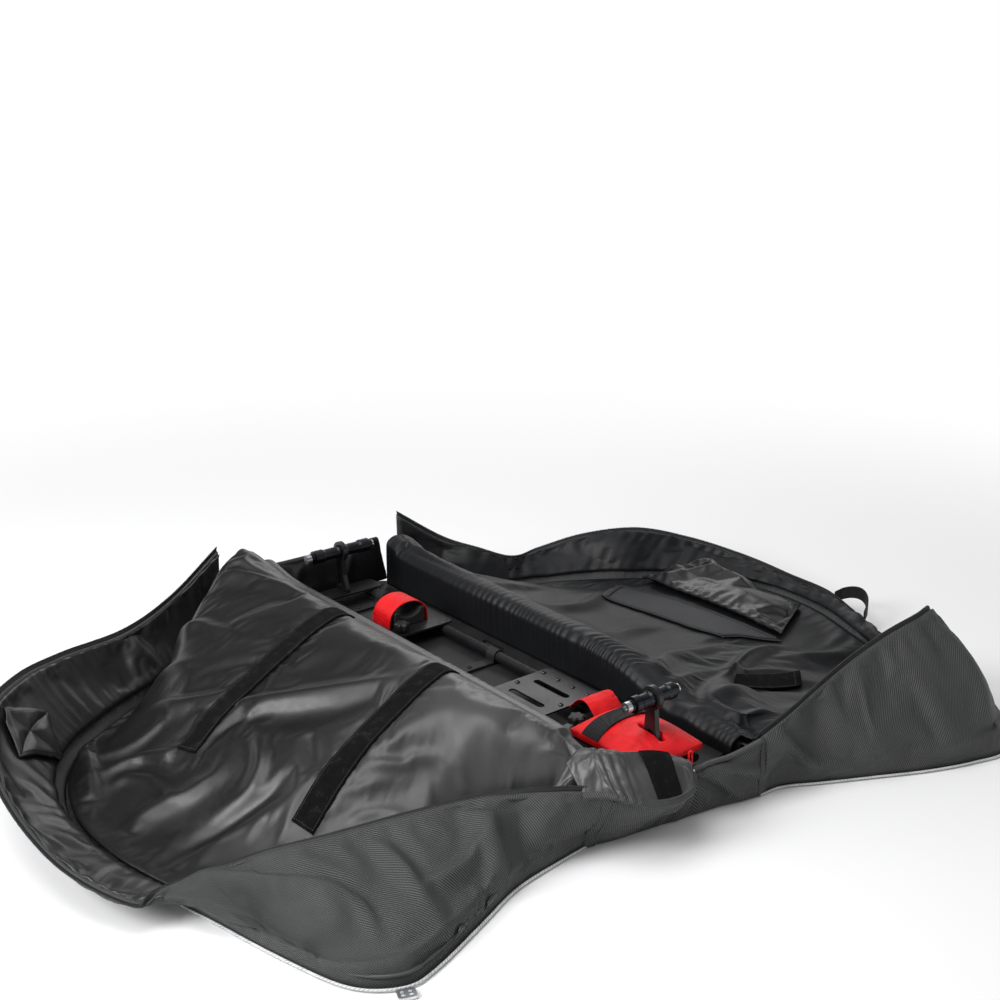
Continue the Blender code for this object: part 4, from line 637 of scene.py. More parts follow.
# Near panel. Its lining is one glossy padded sheet that starts at the foot of the tray's side wall, runs up over the
# wall's top, which is the hinge line, and down to the seam. It is slack, so it lies in long soft folds that fan out
# from the loop strips, and in small creases where the zip's band pulls at it.
wall_face_y = 0.1243
wall_foot_z = 0.0675
ridge_run = 0.0257
ridge_drop = 0.018
hinge_y = 0.150
wall_rows = 12
ridge_rows = 9
panel_rows = 84
seam_inset = 0.004
lining_lift = 0.0008
eased_rows = 6
least_hold = 0.015
strip_hold = 0.8
strip_hold_reach = 0.023
gather_width = 0.011
gather_middle = 0.03
gather_reach = 0.22


def faces_of(name):
    """A tree for finding the faces of a CAD node."""
    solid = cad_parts[name]
    points = [solid.matrix_world @ vertex.co for vertex in solid.data.vertices]
    return BVHTree.FromPolygons(points, [tuple(face.vertices) for face in solid.data.polygons])


def levels(host, plan, upward=False):
    """Heights of a host's upper face over a grid of plan places, or of its lower face."""
    found = np.full(plan.shape[:2], np.nan)
    for index in np.ndindex(found.shape):
        x, y = plan[index][:2]
        start, way = ((x, y, -0.1), (0, 0, 1)) if upward else ((x, y, 1.0), (0, 0, -1))
        hit = host.ray_cast(Vector(start), Vector(way))[0]
        if hit:
            found[index] = hit.z
    for column in found.T:
        known = np.nonzero(~np.isnan(column))[0]
        if len(known):
            column[:] = np.interp(np.arange(len(column)), known, column[known])
    known = np.nonzero(~np.isnan(found[0]))[0]
    for row in found:
        row[:] = np.interp(np.arange(len(row)), known, row[known])
    return found


def lining_grid(side, host, seam, out, fold_x):
    """The grid of a half's lining, from the foot of the tray's side wall over the ridge to the seam."""
    middle = bag.y
    fold = np.stack([fold_x, np.full(len(fold_x), middle + side * hinge_y)], 1)
    edge = (seam - out * seam_inset)[:, :2]
    shares = np.linspace(0, 1, panel_rows) ** 0.95
    plan = fold[None] + (edge - fold)[None] * shares[:, None, None]
    height = softened(levels(host, plan) + lining_lift, 14)
    panel = np.concatenate([plan, height[..., None]], 2)
    top = height[0]
    rows = []
    for s in np.linspace(0, 1, wall_rows, endpoint=False):
        z = wall_foot_z + (top - ridge_drop - wall_foot_z) * s
        rows.append(np.stack([fold_x, np.full(len(fold_x), middle + side * wall_face_y), z], 1))
    for a in np.linspace(0, math.pi / 2, ridge_rows, endpoint=False):
        y = middle + side * (wall_face_y + ridge_run * (1 - math.cos(a)))
        rows.append(np.stack([fold_x, np.full(len(fold_x), y), top - ridge_drop * (1 - math.sin(a))], 1))
    return np.concatenate([np.array(rows), panel])


def panel_lining(name, grid, folds, slack, most, strips, wall_pucker):
    """Lays folds and the wall's gathers into a lining, then lets it settle between its seams and the strips on it."""
    rows = wall_rows + ridge_rows
    held = np.zeros(grid.shape[:2])
    held[:rows] = 1.0
    held[rows : rows + eased_rows] = np.linspace(1, 0.05, eased_rows)[:, None]
    held[-2:] = 1.0
    held[:, :2] = held[:, -2:] = 1.0
    held = np.maximum(held, least_hold)
    for start, end in strips:
        start, end = (np.array(spot) + shift[:2] for spot in (start, end))
        way = end - start
        s = np.clip(((grid[..., :2] - start) @ way) / (way @ way), 0, 1)
        far = np.linalg.norm(grid[..., :2] - start - s[..., None] * way, axis=2)
        held = np.maximum(held, np.where(far < strip_hold_reach, strip_hold, 0.0))
    across = normals(grid)
    if across[..., 2].sum() < 0:
        across = -across
    free = np.clip(1.25 - held, 0, 1)[..., None]
    pressed = press(grid, across, folds)
    grid = grid + (pressed - grid) * np.maximum(free, 0.25)
    # Elastic gathers the cloth of the side wall, most of all in its middle, in ridges that are spaced unevenly.
    u = lengths(grid)[0]
    wander = 0.03 * np.sin(u * 6.0 + 0.4) + 0.013 * np.sin(u * 17.0) + 0.006 * np.sin(u * 41.0)
    window = np.zeros(len(grid))
    window[: rows + 4] = np.sin(np.linspace(0.0, math.pi, rows + 4)) ** 0.7
    drawn_in = 0.25 + 0.75 * np.exp(-(((grid[..., 0] - shift[0] - gather_middle) / gather_reach) ** 4))
    uneven = 0.6 + 0.4 * np.sin(u * 13.0 + 2.0)
    gathers = np.sin((u + wander) / gather_width * math.pi) * wall_pucker * window[:, None] * drawn_in * uneven
    grid = grid + across * gathers[..., None]
    made = cloth(name, grid)
    settle(made, held, slack, most, lining_stiffness)
    return made


near_rear_strip_ends = ((-0.190, -0.176), (-0.085, -0.554))
near_front_strip_ends = ((0.115, -0.176), (0.215, -0.524))
# Long soft folds of the lining, given as those of the band are. They run between the strips and the outer edge.
near_folds = (
    (0.016, 0.017, 0.30, (-0.187, -0.659), (-0.182, -0.635), (-0.162, -0.590), (-0.114, -0.566), (-0.091, -0.551)),
    (0.011, 0.015, -0.2, (-0.148, -0.659), (-0.139, -0.631), (-0.100, -0.613), (-0.062, -0.609), (-0.022, -0.608)),
    (0.016, 0.020, 0.35, (-0.349, -0.619), (-0.315, -0.628), (-0.230, -0.654), (-0.131, -0.697)),
    (-0.009, 0.018, 0.0, (0.092, -0.675), (0.089, -0.625), (0.101, -0.575), (0.117, -0.540), (0.138, -0.506)),
    (-0.007, 0.016, 0.0, (0.160, -0.468), (0.109, -0.441), (0.081, -0.427)),
    (0.008, 0.014, 0.2, (0.004, -0.472), (0.064, -0.500), (0.084, -0.524), (0.091, -0.548)),
    (-0.008, 0.030, 0.4, (-0.058, -0.515), (-0.048, -0.474), (0.024, -0.406), (0.078, -0.355), (0.119, -0.315)),
    (0.010, 0.022, 0.2, (-0.083, -0.482), (-0.077, -0.446), (-0.022, -0.398), (0.035, -0.342), (0.113, -0.269)),
    (0.004, 0.008, 0.0, (0.255, -0.473), (0.274, -0.440), (0.288, -0.421)),
    (0.004, 0.008, 0.0, (0.233, -0.445), (0.241, -0.422), (0.260, -0.392)),
    (0.005, 0.009, 0.0, (0.222, -0.403), (0.254, -0.362), (0.253, -0.348), (0.279, -0.314)),
    (0.004, 0.008, 0.0, (0.289, -0.317), (0.308, -0.302), (0.327, -0.308)),
    (0.008, 0.018, 0.2, (-0.458, -0.255), (-0.401, -0.224), (-0.285, -0.213)),
    (0.012, 0.022, 0.2, (-0.300, -0.560), (-0.250, -0.520), (-0.190, -0.500), (-0.150, -0.470)),
    (0.009, 0.016, -0.2, (-0.380, -0.500), (-0.330, -0.470), (-0.260, -0.440)),
    (0.010, 0.018, 0.2, (-0.430, -0.420), (-0.370, -0.380), (-0.290, -0.360)),
    (0.008, 0.015, 0.0, (-0.290, -0.690), (-0.230, -0.600), (-0.200, -0.520)),
    (0.009, 0.020, 0.1, (-0.020, -0.690), (-0.030, -0.640), (0.010, -0.560)),
)
grid = lining_grid(-1, faces_of("near_liner"), near_seam, near_out, near_fold_x)
strips = (near_rear_strip_ends, near_front_strip_ends)
near_lining = panel_lining(
    "near_panel_lining", grid, near_folds, slack=0.018, most=0.007, strips=strips, wall_pucker=0.0007
)
near_surface = BVHTree.FromObject(near_lining, bpy.context.evaluated_depsgraph_get())
finish_with(near_lining, "SOLIDIFY", thickness=lining_thickness, offset=-1.0)
dress(near_lining, glossy_nylon, "lining_gloss", None, "near_liner", "near_wall")


def blend_at_fold(piece):
    """Bakes a piece's placing into its mesh."""
    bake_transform(piece)


blend_at_fold(near_lining)

# Near shell. The bag's outer cloth, the same twill, runs from the bottom cover's edge up the outside of the tray's
# wall, under the hinge line and then under the padding to the seam, where the piping is sewn in.
shell_rows = 46
shell_wall_rows = 9
shell_foot_y = 0.1485
shell_foot_z = 0.0590
shell_thickness = 0.0015
shell_clearance = 0.0012


def shell_grid_of(side, host, seam, fold_x):
    """The grid of a half's outer cloth, from the bottom cover's edge over the wall's outside to the seam."""
    middle = bag.y
    fold = np.stack([fold_x, np.full(len(fold_x), middle + side * (shell_foot_y + 0.0005))], 1)
    shares = np.linspace(0, 1, shell_rows)
    plan = fold[None] + (seam[:, :2] - fold)[None] * shares[:, None, None]
    height = softened(levels(host, plan, True) - shell_clearance / 2, 6)
    height[-1] = shell_clearance
    panel = np.concatenate([plan, np.maximum(height, shell_clearance)[..., None]], 2)
    rows = []
    for s in np.linspace(0, 1, shell_wall_rows, endpoint=False):
        z = shell_foot_z + (height[0] - shell_foot_z) * s
        rows.append(np.stack([fold_x, np.full(len(fold_x), middle + side * shell_foot_y), z], 1))
    return np.concatenate([np.array(rows), panel])


def outer_shell(side, label, seam, fold_x):
    """The outer cloth under a half, its faces pointing down and outwards."""
    grid = shell_grid_of(side, faces_of(f"{label}_shell"), seam[::2], fold_x[::2])
    made = cloth(f"{label}_panel_shell", grid, False)
    held = edge_hold(grid, 0.02)
    held[: shell_wall_rows + 2] = 1.0
    settle(made, held, slack=0.012, most=0.004, bending=0.5)
    finish_with(made, "SOLIDIFY", thickness=shell_thickness, offset=-1.0)
    dress(made, twill, "twill", None, f"{label}_shell")
    blend_at_fold(made)


outer_shell(-1, "near", near_seam, near_fold_x)

# Zip of the near half. A flat binding folds over the gusset's top edge and is stitched twice. From under it comes the
# zip's tape, whose edge carries a moulded nylon coil. The coil's teeth are 1.5 mm apart in fact and 3 mm here.
binding_width = 0.011
binding_thickness = 0.0015
tape_width = 0.009
tape_thickness = 0.0014
coil_pitch = 0.0030
coil_width = 0.0040
tooth_length = 0.0022
stitch_pitch = 0.0040
stitch_width = 0.0011
stitch_length = 0.0029


def swept(name, line, side_way, up_way, profile):
    """A strip or tube: a closed profile of (side, up) points carried along a line, with closed ends."""
    profile = np.array(profile, float)
    rings = line[:, None] + side_way[:, None] * profile[None, :, :1] + up_way[:, None] * profile[None, :, 1:]
    count, around = rings.shape[:2]
    number = np.arange(count * around).reshape(count, around)
    turned = np.roll(number, -1, axis=1)
    faces = np.stack([number[:-1], turned[:-1], turned[1:], number[1:]], 2).reshape(-1, 4).tolist()
    faces += [number[0][::-1].tolist(), number[-1].tolist()]
    mesh = bpy.data.meshes.new(name)
    mesh.from_pydata(rings.reshape(-1, 3).tolist(), [], faces)
    steps = np.concatenate([[0.0], np.cumsum(np.linalg.norm(np.diff(line, axis=0), axis=1))])
    girth = np.concatenate([[0.0], np.cumsum(np.linalg.norm(np.diff(profile, axis=0), axis=1))])
    weave = mesh.uv_layers.new(name="weave")
    places = np.stack(np.broadcast_arrays(steps[:, None], girth[None, :]), 2).reshape(-1, 2)
    loops = np.empty(len(mesh.loops), np.int32)
    mesh.loops.foreach_get("vertex_index", loops)
    weave.data.foreach_set("uv", places[loops].astype(np.float32).reshape(-1))
    work = bmesh.new()
    work.from_mesh(mesh)
    bmesh.ops.recalc_face_normals(work, faces=work.faces[:])
    work.to_mesh(mesh)
    work.free()
    mesh.shade_smooth()
    made = bpy.data.objects.new(name, mesh)
    bpy.context.scene.collection.objects.link(made)
    return made


def rounded_profile(width, thickness):
    """The outline of a flat strip with round edges, as (side, up) points."""
    found = []
    for way in (1, -1):
        for turn in (-90, -45, 0, 45, 90):
            a = math.radians(turn)
            side = width / 2 - thickness / 2 + math.cos(a) * thickness / 2
            found.append((way * side, way * math.sin(a) * thickness / 2))
    return found


def row_tree(name, material):
    """Geometry nodes that set small rounded beads along a line, such as stitches or the teeth of a coil."""
    made = bpy.data.node_groups.new(name, "GeometryNodeTree")
    face = made.interface
    face.new_socket(name="Line", in_out="INPUT", socket_type="NodeSocketGeometry")
    for name in ("Pitch", "Width", "Length"):
        face.new_socket(name=name, in_out="INPUT", socket_type="NodeSocketFloat")
    face.new_socket(name="Beads", in_out="OUTPUT", socket_type="NodeSocketGeometry")
    given = node(made, "NodeGroupInput")
    curve = node(made, "GeometryNodeMeshToCurve", {"Mesh": given.outputs["Line"]})
    spacing = {"Curve": curve.outputs[0], "Length": given.outputs["Pitch"]}
    spots = node(made, "GeometryNodeCurveToPoints", spacing, mode="LENGTH")
    bead = node(made, "GeometryNodeMeshIcoSphere", {"Radius": 0.5, "Subdivisions": 1})
    sizes = {"X": given.outputs["Width"], "Y": given.outputs["Width"], "Z": given.outputs["Length"]}
    size = node(made, "ShaderNodeCombineXYZ", sizes)
    placing = {
        "Points": spots.outputs["Points"],
        "Instance": bead.outputs["Mesh"],
        "Rotation": spots.outputs["Rotation"],
        "Scale": size.outputs[0],
    }
    placed = node(made, "GeometryNodeInstanceOnPoints", placing)
    real = node(made, "GeometryNodeRealizeInstances", {"Geometry": placed.outputs[0]})
    dressed = node(made, "GeometryNodeSetMaterial", {"Geometry": real.outputs[0], "Material": material})
    node(made, "NodeGroupOutput", {"Beads": dressed.outputs[0]})
    return made


def beads(name, lines, tree, pitch, width, length):
    """One mesh of beads set along some lines, one pitch apart and of one width and length."""
    points, edges = [], []
    for line in lines:
        first = len(points)
        points += [tuple(spot) for spot in line]
        edges += [(first + k, first + k + 1) for k in range(len(line) - 1)]
    mesh = bpy.data.meshes.new(name)
    mesh.from_pydata(points, edges, [])
    made = bpy.data.objects.new(name, mesh)
    bpy.context.scene.collection.objects.link(made)
    modifier = made.modifiers.new("row", "NODES")
    modifier.node_group = tree
    sizes = {"Pitch": pitch, "Width": width, "Length": length}
    for item in tree.interface.items_tree:
        if item.name in sizes:
            modifier[item.identifier] = sizes[item.name]
    graph = bpy.context.evaluated_depsgraph_get()
    done = bpy.data.meshes.new_from_object(made.evaluated_get(graph))
    made.modifiers.remove(modifier)
    made.data = done
    done.shade_smooth()
    return made


# Nylon coil: moulded from one filament, so it shines in small separate highlights, and dust of about 10 mm patches
# dulls it.
coil_nylon, tree, shader = start_material("nylon_zip_coil", "1A1A1C", 0.32)
where = node(tree, "ShaderNodeTexCoord")
dust = node(tree, "ShaderNodeTexNoise", {"Vector": where.outputs["Object"], "Scale": 90.0, "Detail": 3.0})
tint(tree, shader, dust.outputs["Fac"], ((0.35, "161618"), (0.75, "2C2C2F")))

# Bonded polyester thread, dark grey, a shade lighter than the cloth it holds. Its twist is drawn 3 mm long, as
# long as a stitch.
thread, tree, shader = start_material("bonded_polyester_thread", "38393B", 0.5)
where = node(tree, "ShaderNodeTexCoord")
twist = node(tree, "ShaderNodeTexNoise", {"Vector": where.outputs["Object"], "Scale": 320.0, "Detail": 2.0})
tint(tree, shader, twist.outputs["Fac"], ((0.3, "2A2B2D"), (0.7, "48494C")))

# Woven polyester tape: fine ribs across it, too fine at 0.4 mm and so drawn 1.6 mm apart.
tape_cloth, tree, shader = start_material("woven_zip_tape", "121213", 0.65)
where = node(tree, "ShaderNodeUVMap", uv_map="weave")
tape_ribs = {"Vector": where.outputs["UV"], "Scale": metre_waves(0.0016)}
ribs = node(tree, "ShaderNodeTexWave", tape_ribs, bands_direction="X")
tint(tree, shader, ribs.outputs["Fac"], ((0.1, "0C0C0D"), (0.9, "1E1F20")))
emboss(tree, shader, ribs.outputs["Fac"], 0.0006, 0.7)

coil_row = row_tree("coil_of_teeth", coil_nylon)
stitch_row = row_tree("row_of_stitches", thread)


def zip_half(label, rim, away, grid):
    """The binding, tape, coil and stitches on the free edge of a half's gusset."""
    edge = grid[-1] - grid[-5]
    edge /= np.linalg.norm(edge, axis=1, keepdims=True)
    face = away[-1] / np.linalg.norm(away[-1], axis=1, keepdims=True)
    middle = rim - face * lining_gap / 2
    inner, outer = middle - edge * binding_width * 0.45, middle - edge * 0.001
    bound = rounded_profile(binding_width, binding_thickness + lining_gap)
    binding = swept(f"{label}_zip_binding", inner, edge, face, bound)
    binding.data.materials.append(twill)
    flat = rounded_profile(tape_width, tape_thickness)
    tape = swept(f"{label}_zip_tape_cloth", outer + edge * tape_width / 2, edge, face, flat)
    tape.data.materials.append(tape_cloth)
    tape_end = outer + edge * (tape_width - 0.0005)
    coil = beads(f"{label}_zip_coil", [tape_end], coil_row, coil_pitch, coil_width, tooth_length)
    rows = []
    for share in (0.15, 0.85):
        for way in (1, -1):
            offset = (binding_thickness + lining_gap) / 2 + 0.0001
            rows.append(inner + edge * binding_width * (share - 0.5) * 0.8 + face * way * offset)
    seam_stitches = beads(f"{label}_zip_stitches", rows, stitch_row, stitch_pitch, 0.0009, 0.0028)
    for piece in (binding, tape, coil, seam_stitches):
        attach(piece, f"{label}_half")
    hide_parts(f"{label}_zip_tape")


zip_half("near", near_rim, outward(near_band, near_out), near_band)

# Near piping. A cord in a woven cover with reflective yarn, sewn into the seam on the floor: light grey, with a
# bright grain where the yarn turns the light back. Its yarn, 1 mm apart in fact, is drawn 3 mm apart.
reflective_piping, tree, shader = start_material("reflective_piping", "C9CACB", 0.35)
where = node(tree, "ShaderNodeUVMap", uv_map="weave")
yarns = {"Vector": where.outputs["UV"], "Scale": metre_waves(0.003)}
yarn = node(tree, "ShaderNodeTexWave", yarns, bands_direction="DIAGONAL")
wear_and_painted_sheen = node(tree, "ShaderNodeTexNoise", {"Vector": where.outputs["UV"], "Scale": 40.0, "Detail": 4.0})
both = node(tree, "ShaderNodeMath", {0: yarn.outputs["Fac"], 1: 0.4, 2: wear_and_painted_sheen.outputs["Fac"]}, operation="MULTIPLY_ADD")
tint(tree, shader, both.outputs[0], ((0.3, "8F9092"), (0.8, "D8D9DA")))
emboss(tree, shader, yarn.outputs["Fac"], 0.0006, 0.6)
piping_radius = 0.0021
piping_lead = 0.0042
piping_height = 0.0024


def piping(label, seam, out):
    """The reflective cord along a half's seam."""
    line = seam + out * piping_lead + np.array([0, 0, piping_height])
    up = np.broadcast_to(np.array([0, 0, 1.0]), line.shape)
    turns = math.tau * np.arange(8) / 8
    profile = np.stack([np.cos(turns), np.sin(turns)], 1) * piping_radius
    made = swept(f"{label}_reflective_piping", line, out, up, profile)
    dress(made, reflective_piping, "piping", f"{label}_half", f"{label}_piping")


piping("near", near_seam, near_out)

# Loop strips of the near half. Two strips of soft loop tape hold straps. They are stitched down along both edges,
# and one long edge of each frays a little. The pile is dull and hairy, with tufts of pale lint. Its hairs stand 0.5 mm
# apart and are drawn 2.4 mm apart.
loop_pile, tree, shader = start_material("brushed_loop_tape", "101011", 1.0, Specular_IOR_Level=0.15)
where = node(tree, "ShaderNodeTexCoord")
pile = {"Vector": where.outputs["Object"], "Scale": 420.0, "Detail": 6.0, "Roughness": 0.8, "Distortion": 1.5}
hairs = node(tree, "ShaderNodeTexNoise", pile)
clumps = node(tree, "ShaderNodeTexNoise", {"Vector": where.outputs["Object"], "Scale": 60.0, "Detail": 4.0})
tufts = {0: clumps.outputs["Fac"], 1: 0.6, 2: hairs.outputs["Fac"]}
both = node(tree, "ShaderNodeMath", tufts, operation="MULTIPLY_ADD")
tint(tree, shader, both.outputs[0], ((0.55, "060607"), (0.9, "131314"), (1.0, "3A3A3C")))
emboss(tree, shader, both.outputs[0], 0.003, 0.9)


def laid(surface, corners, counts, lift, rounds=3, fixed=1):
    """The grid of a patch laid on cloth: bilinear between four plan corners, at the height of what lies under it."""
    a, b, c, d = (np.array(corner) + shift[:2] for corner in corners)
    u = np.linspace(0, 1, counts[0])[:, None, None]
    v = np.linspace(0, 1, counts[1])[None, :, None]
    plan = (a * (1 - u) + b * u) * (1 - v) + (d * (1 - u) + c * u) * v
    height = softened(levels(surface, plan), rounds, fixed) + lift
    return np.concatenate([plan, height[..., None]], 2)


def strip_corners(ends, width):
    """The plan corners of a strip of one width between two places."""
    start, end = (np.array(spot) for spot in ends)
    along = (end - start) / np.linalg.norm(end - start)
    across = np.array([-along[1], along[0]]) * width / 2
    return start + across, end + across, end - across, start - across


def border_lines(grid, inset, lift):
    """The stitch lines round a patch, a little inside its edges."""
    up = normals(grid)
    if up[..., 2].sum() < 0:
        up = -up
    raised = grid + up * lift
    rows, columns = grid.shape[:2]
    r, c = max(1, round(rows * inset[0])), max(1, round(columns * inset[1]))
    return [raised[r:-r, c], raised[-r - 1, c:-c], raised[r:-r, -c - 1][::-1], raised[r, c:-c][::-1]]


def stitched_round(name, grid, inset, lift, body):
    """The stitches round a patch. Inset is how far in they lie, as shares of its rows and columns."""
    lines = border_lines(grid, inset, lift)
    sewn = beads(f"{name}_stitches", lines, stitch_row, stitch_pitch, stitch_width, stitch_length)
    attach(sewn, body)


def patch(name, grid, thickness, material, body, slot, node_name, inset):
    """A piece of tape or cloth laid and stitched on a panel."""
    made = cloth(name, grid)
    finish_with(made, "SOLIDIFY", thickness=thickness, offset=-1.0)
    dress(made, material, slot, body, node_name)
    stitched_round(name, grid, inset, 0.0004, body)
    return made


strip_width = 0.042
strip_thickness = 0.0028
strip_lift = 0.0032
strip_points = (90, 13)
for name, ends in (("near_rear_strip", near_rear_strip_ends), ("near_front_strip", near_front_strip_ends)):
    grid = laid(near_surface, strip_corners(ends, strip_width), strip_points, strip_lift)
    along = np.arange(strip_points[0])
    fray = np.sin(along * 2.1) * 0.0004 + np.sin(along * 5.3) * 0.0003
    grid[:, 0, :2] += (grid[:, 1, :2] - grid[:, 0, :2]) * fray[:, None] / 0.003
    patch(f"{name}_loop", grid, strip_thickness, loop_pile, "near_half", "loop_tape", name, (0.014, 0.08))

# Near corner tab. A quilted square of the glossy lining, stitched across both ways, where the zip's band turns.
tab_middle = np.array([-0.262, -0.690])
tab_half = 0.050
tab_thickness = 0.004
tab_points = 40
tab_slant = 1.4


def diamond_on(grid, row, column, half_rows, half_columns, count):
    """A square of so many points, set corner up on a grid of cloth."""
    s, t = np.meshgrid(np.linspace(-1, 1, count), np.linspace(-1, 1, count), indexing="ij")
    rows = np.clip(row + (s + t) / 2 * half_rows, 0, len(grid) - 1.001)
    columns = np.clip(column + (s - t) / 2 * half_columns, 0, grid.shape[1] - 1.001)
    r, c = rows.astype(int), columns.astype(int)
    f, g = (rows - r)[..., None], (columns - c)[..., None]
    low = grid[r, c] * (1 - g) + grid[r, c + 1] * g
    high = grid[r + 1, c] * (1 - g) + grid[r + 1, c + 1] * g
    return low * (1 - f) + high * f


# The tab lies on the gusset's lining, at the place along the seam that is nearest to its middle.
column = int(np.argmin(np.linalg.norm(near_seam[:, :2] - shift[:2] - tab_middle, axis=1)))
step = float(np.linalg.norm(near_seam[column + 1] - near_seam[column]))
rise = float(np.linalg.norm(near_inside[1:, column] - near_inside[:-1, column], axis=1).mean())
half_diagonal = tab_half * tab_slant
grid = diamond_on(near_inside, len(near_inside) * 0.42, column, half_diagonal / rise, half_diagonal / step, tab_points)
for _ in range(12):
    grid[1:-1, 1:-1] = (grid[:-2, 1:-1] + grid[2:, 1:-1] + grid[1:-1, :-2] + grid[1:-1, 2:]) / 4
across = normals(grid)
across *= np.sign((across * -near_out[column]).sum() + 1e-9)
u, v = np.meshgrid(np.linspace(0, 1, tab_points), np.linspace(0, 1, tab_points), indexing="ij")
# Its padding swells between the two sewn lines that cross it, and flattens towards its edge.
crossing = np.minimum(np.abs(u - v), np.abs(u + v - 1))
edge_near = np.minimum(np.minimum(u, 1 - u), np.minimum(v, 1 - v))
quilting = 0.006 + 0.005 * np.clip(crossing / 0.25, 0, 1) ** 0.5 - 0.003 * np.exp(-((edge_near / 0.06) ** 2))
grid = grid + across * quilting[..., None]
near_tab = patch(
    "near_quilted_tab", grid, tab_thickness, band_nylon_painted_sheen, "near_half", "lining_gloss", "near_corner_tab", (0.07, 0.07)
)

# Lines of the far half, like those of the near one. Its front corner stands higher, and its outer edge lies low.
far_places = (
    (0.495, 0.03, 0.497, 0.03, 0.53),
    (0.500, 0.11, 0.503, 0.13, 0.65),
    (0.535, 0.22, 0.503, 0.25, 0.78),
    (0.575, 0.35, 0.502, 0.38, 0.90),
    (0.620, 0.50, 0.508, 0.52, 1.02),
    (0.650, 0.64, 0.515, 0.64, 1.09),
    (0.660, 0.75, 0.510, 0.72, 1.10),
    (0.610, 0.86, 0.470, 0.81, 0.78),
    (0.500, 0.93, 0.400, 0.92, 0.46),
    (0.360, 0.97, 0.290, 1.03, 0.22),
    (0.220, 1.04, 0.200, 1.12, 0.16),
    (0.080, 1.12, 0.080, 1.19, 0.19),
    (-0.050, 1.13, -0.050, 1.20, 0.21),
    (-0.160, 1.07, -0.180, 1.18, 0.26),
    (-0.250, 0.93, -0.275, 1.09, 0.37),
    (-0.320, 0.78, -0.345, 0.93, 0.50),
    (-0.370, 0.65, -0.420, 0.77, 0.43),
    (-0.410, 0.52, -0.465, 0.61, 0.31),
    (-0.440, 0.38, -0.470, 0.48, 0.31),
    (-0.460, 0.27, -0.495, 0.36, 0.45),
    (-0.500, 0.17, -0.535, 0.25, 0.60),
    (-0.530, 0.07, -0.560, 0.09, 0.95),
)
far_fold_places = (
    0.46, 0.44, 0.42, 0.39, 0.36, 0.32, 0.27, 0.22, 0.17, 0.11, 0.05,
    -0.01, -0.07, -0.13, -0.20, -0.27, -0.33, -0.38, -0.42, -0.45, -0.48, -0.50,
)  # fmt: skip
far_columns = 330
far_seam, far_rim, far_out, far_fold_x = half_lines(1, far_places, far_fold_places, far_columns)

# Far gusset, panel, shell, zip and piping, made as the near ones are. The lining here is matt, and it is gathered
# along the tray's side wall, where elastic draws it in.
far_twist_folds = (
    (0.012, 0.028, 0.3, (0.585, 0.330, 0.02), (0.560, 0.345, 0.10), (0.515, 0.360, 0.17)),
    (0.012, 0.022, 0.0, (0.640, 0.480, 0.03), (0.600, 0.470, 0.10), (0.560, 0.450, 0.16)),
    (-0.012, 0.024, 0.0, (0.560, 0.250, 0.01), (0.540, 0.260, 0.09), (0.510, 0.270, 0.14)),
    (0.012, 0.022, 0.2, (0.655, 0.560, 0.05), (0.600, 0.570, 0.12), (0.540, 0.570, 0.19)),
    (0.010, 0.012, 0.0, (0.500, 0.180, 0.11), (0.515, 0.230, 0.06), (0.520, 0.270, 0.01)),
    (0.008, 0.012, 0.0, (0.500, 0.165, 0.10), (0.530, 0.260, 0.04), (0.570, 0.320, 0.01)),
)
matt_nylon = taffeta_of("matt_coated_nylon", ("0D0E10", "141518"), (0.42, 0.54), Specular_IOR_Level=0.3)
far_band, _ = gusset("far", far_seam, far_rim, far_out, far_twist_folds, matt_nylon, "lining_matte")
far_strip_corners = ((0.345, 0.440), (0.310, 0.476), (0.265, 0.314), (0.300, 0.296))
far_folds = (
    (0.011, 0.016, 0.2, (0.356, 0.172), (0.343, 0.250), (0.345, 0.330)),
    (0.014, 0.015, -0.2, (0.340, 0.191), (0.290, 0.300), (0.207, 0.456), (0.174, 0.612)),
    (0.012, 0.014, 0.0, (0.360, 0.179), (0.419, 0.191), (0.431, 0.252)),
    (0.014, 0.018, 0.3, (0.236, 0.175), (0.190, 0.240), (0.143, 0.309), (0.123, 0.470)),
    (0.011, 0.016, 0.0, (0.050, 0.180), (0.030, 0.260), (-0.010, 0.360), (-0.020, 0.440)),
    (0.013, 0.018, 0.2, (-0.120, 0.180), (-0.150, 0.270), (-0.170, 0.380), (-0.220, 0.480)),
    (0.011, 0.016, -0.2, (-0.260, 0.190), (-0.290, 0.280), (-0.300, 0.380)),
    (0.014, 0.018, 0.0, (0.420, 0.300), (0.430, 0.400), (0.420, 0.500), (0.370, 0.600)),
    (0.011, 0.014, 0.0, (0.480, 0.330), (0.520, 0.430), (0.530, 0.520)),
    (0.012, 0.016, 0.0, (0.230, 0.560), (0.260, 0.640), (0.250, 0.700)),
    (0.012, 0.014, 0.1, (0.280, 0.180), (0.250, 0.280), (0.260, 0.380), (0.300, 0.520)),
    (-0.010, 0.016, 0.0, (0.310, 0.200), (0.300, 0.330), (0.360, 0.470)),
)
grid = lining_grid(1, faces_of("far_liner"), far_seam, far_out, far_fold_x)
far_lining = panel_lining(
    "far_panel_lining", grid, far_folds, slack=0.022, most=0.007, strips=(), wall_pucker=0.0026
)
far_surface = BVHTree.FromObject(far_lining, bpy.context.evaluated_depsgraph_get())
finish_with(far_lining, "SOLIDIFY", thickness=lining_thickness, offset=-1.0)
dress(far_lining, matt_nylon, "lining_matte", None, "far_liner", "far_wall")
blend_at_fold(far_lining)
outer_shell(1, "far", far_seam, far_fold_x)
zip_half("far", far_rim, outward(far_band, far_out), far_band)
piping("far", far_seam, far_out)

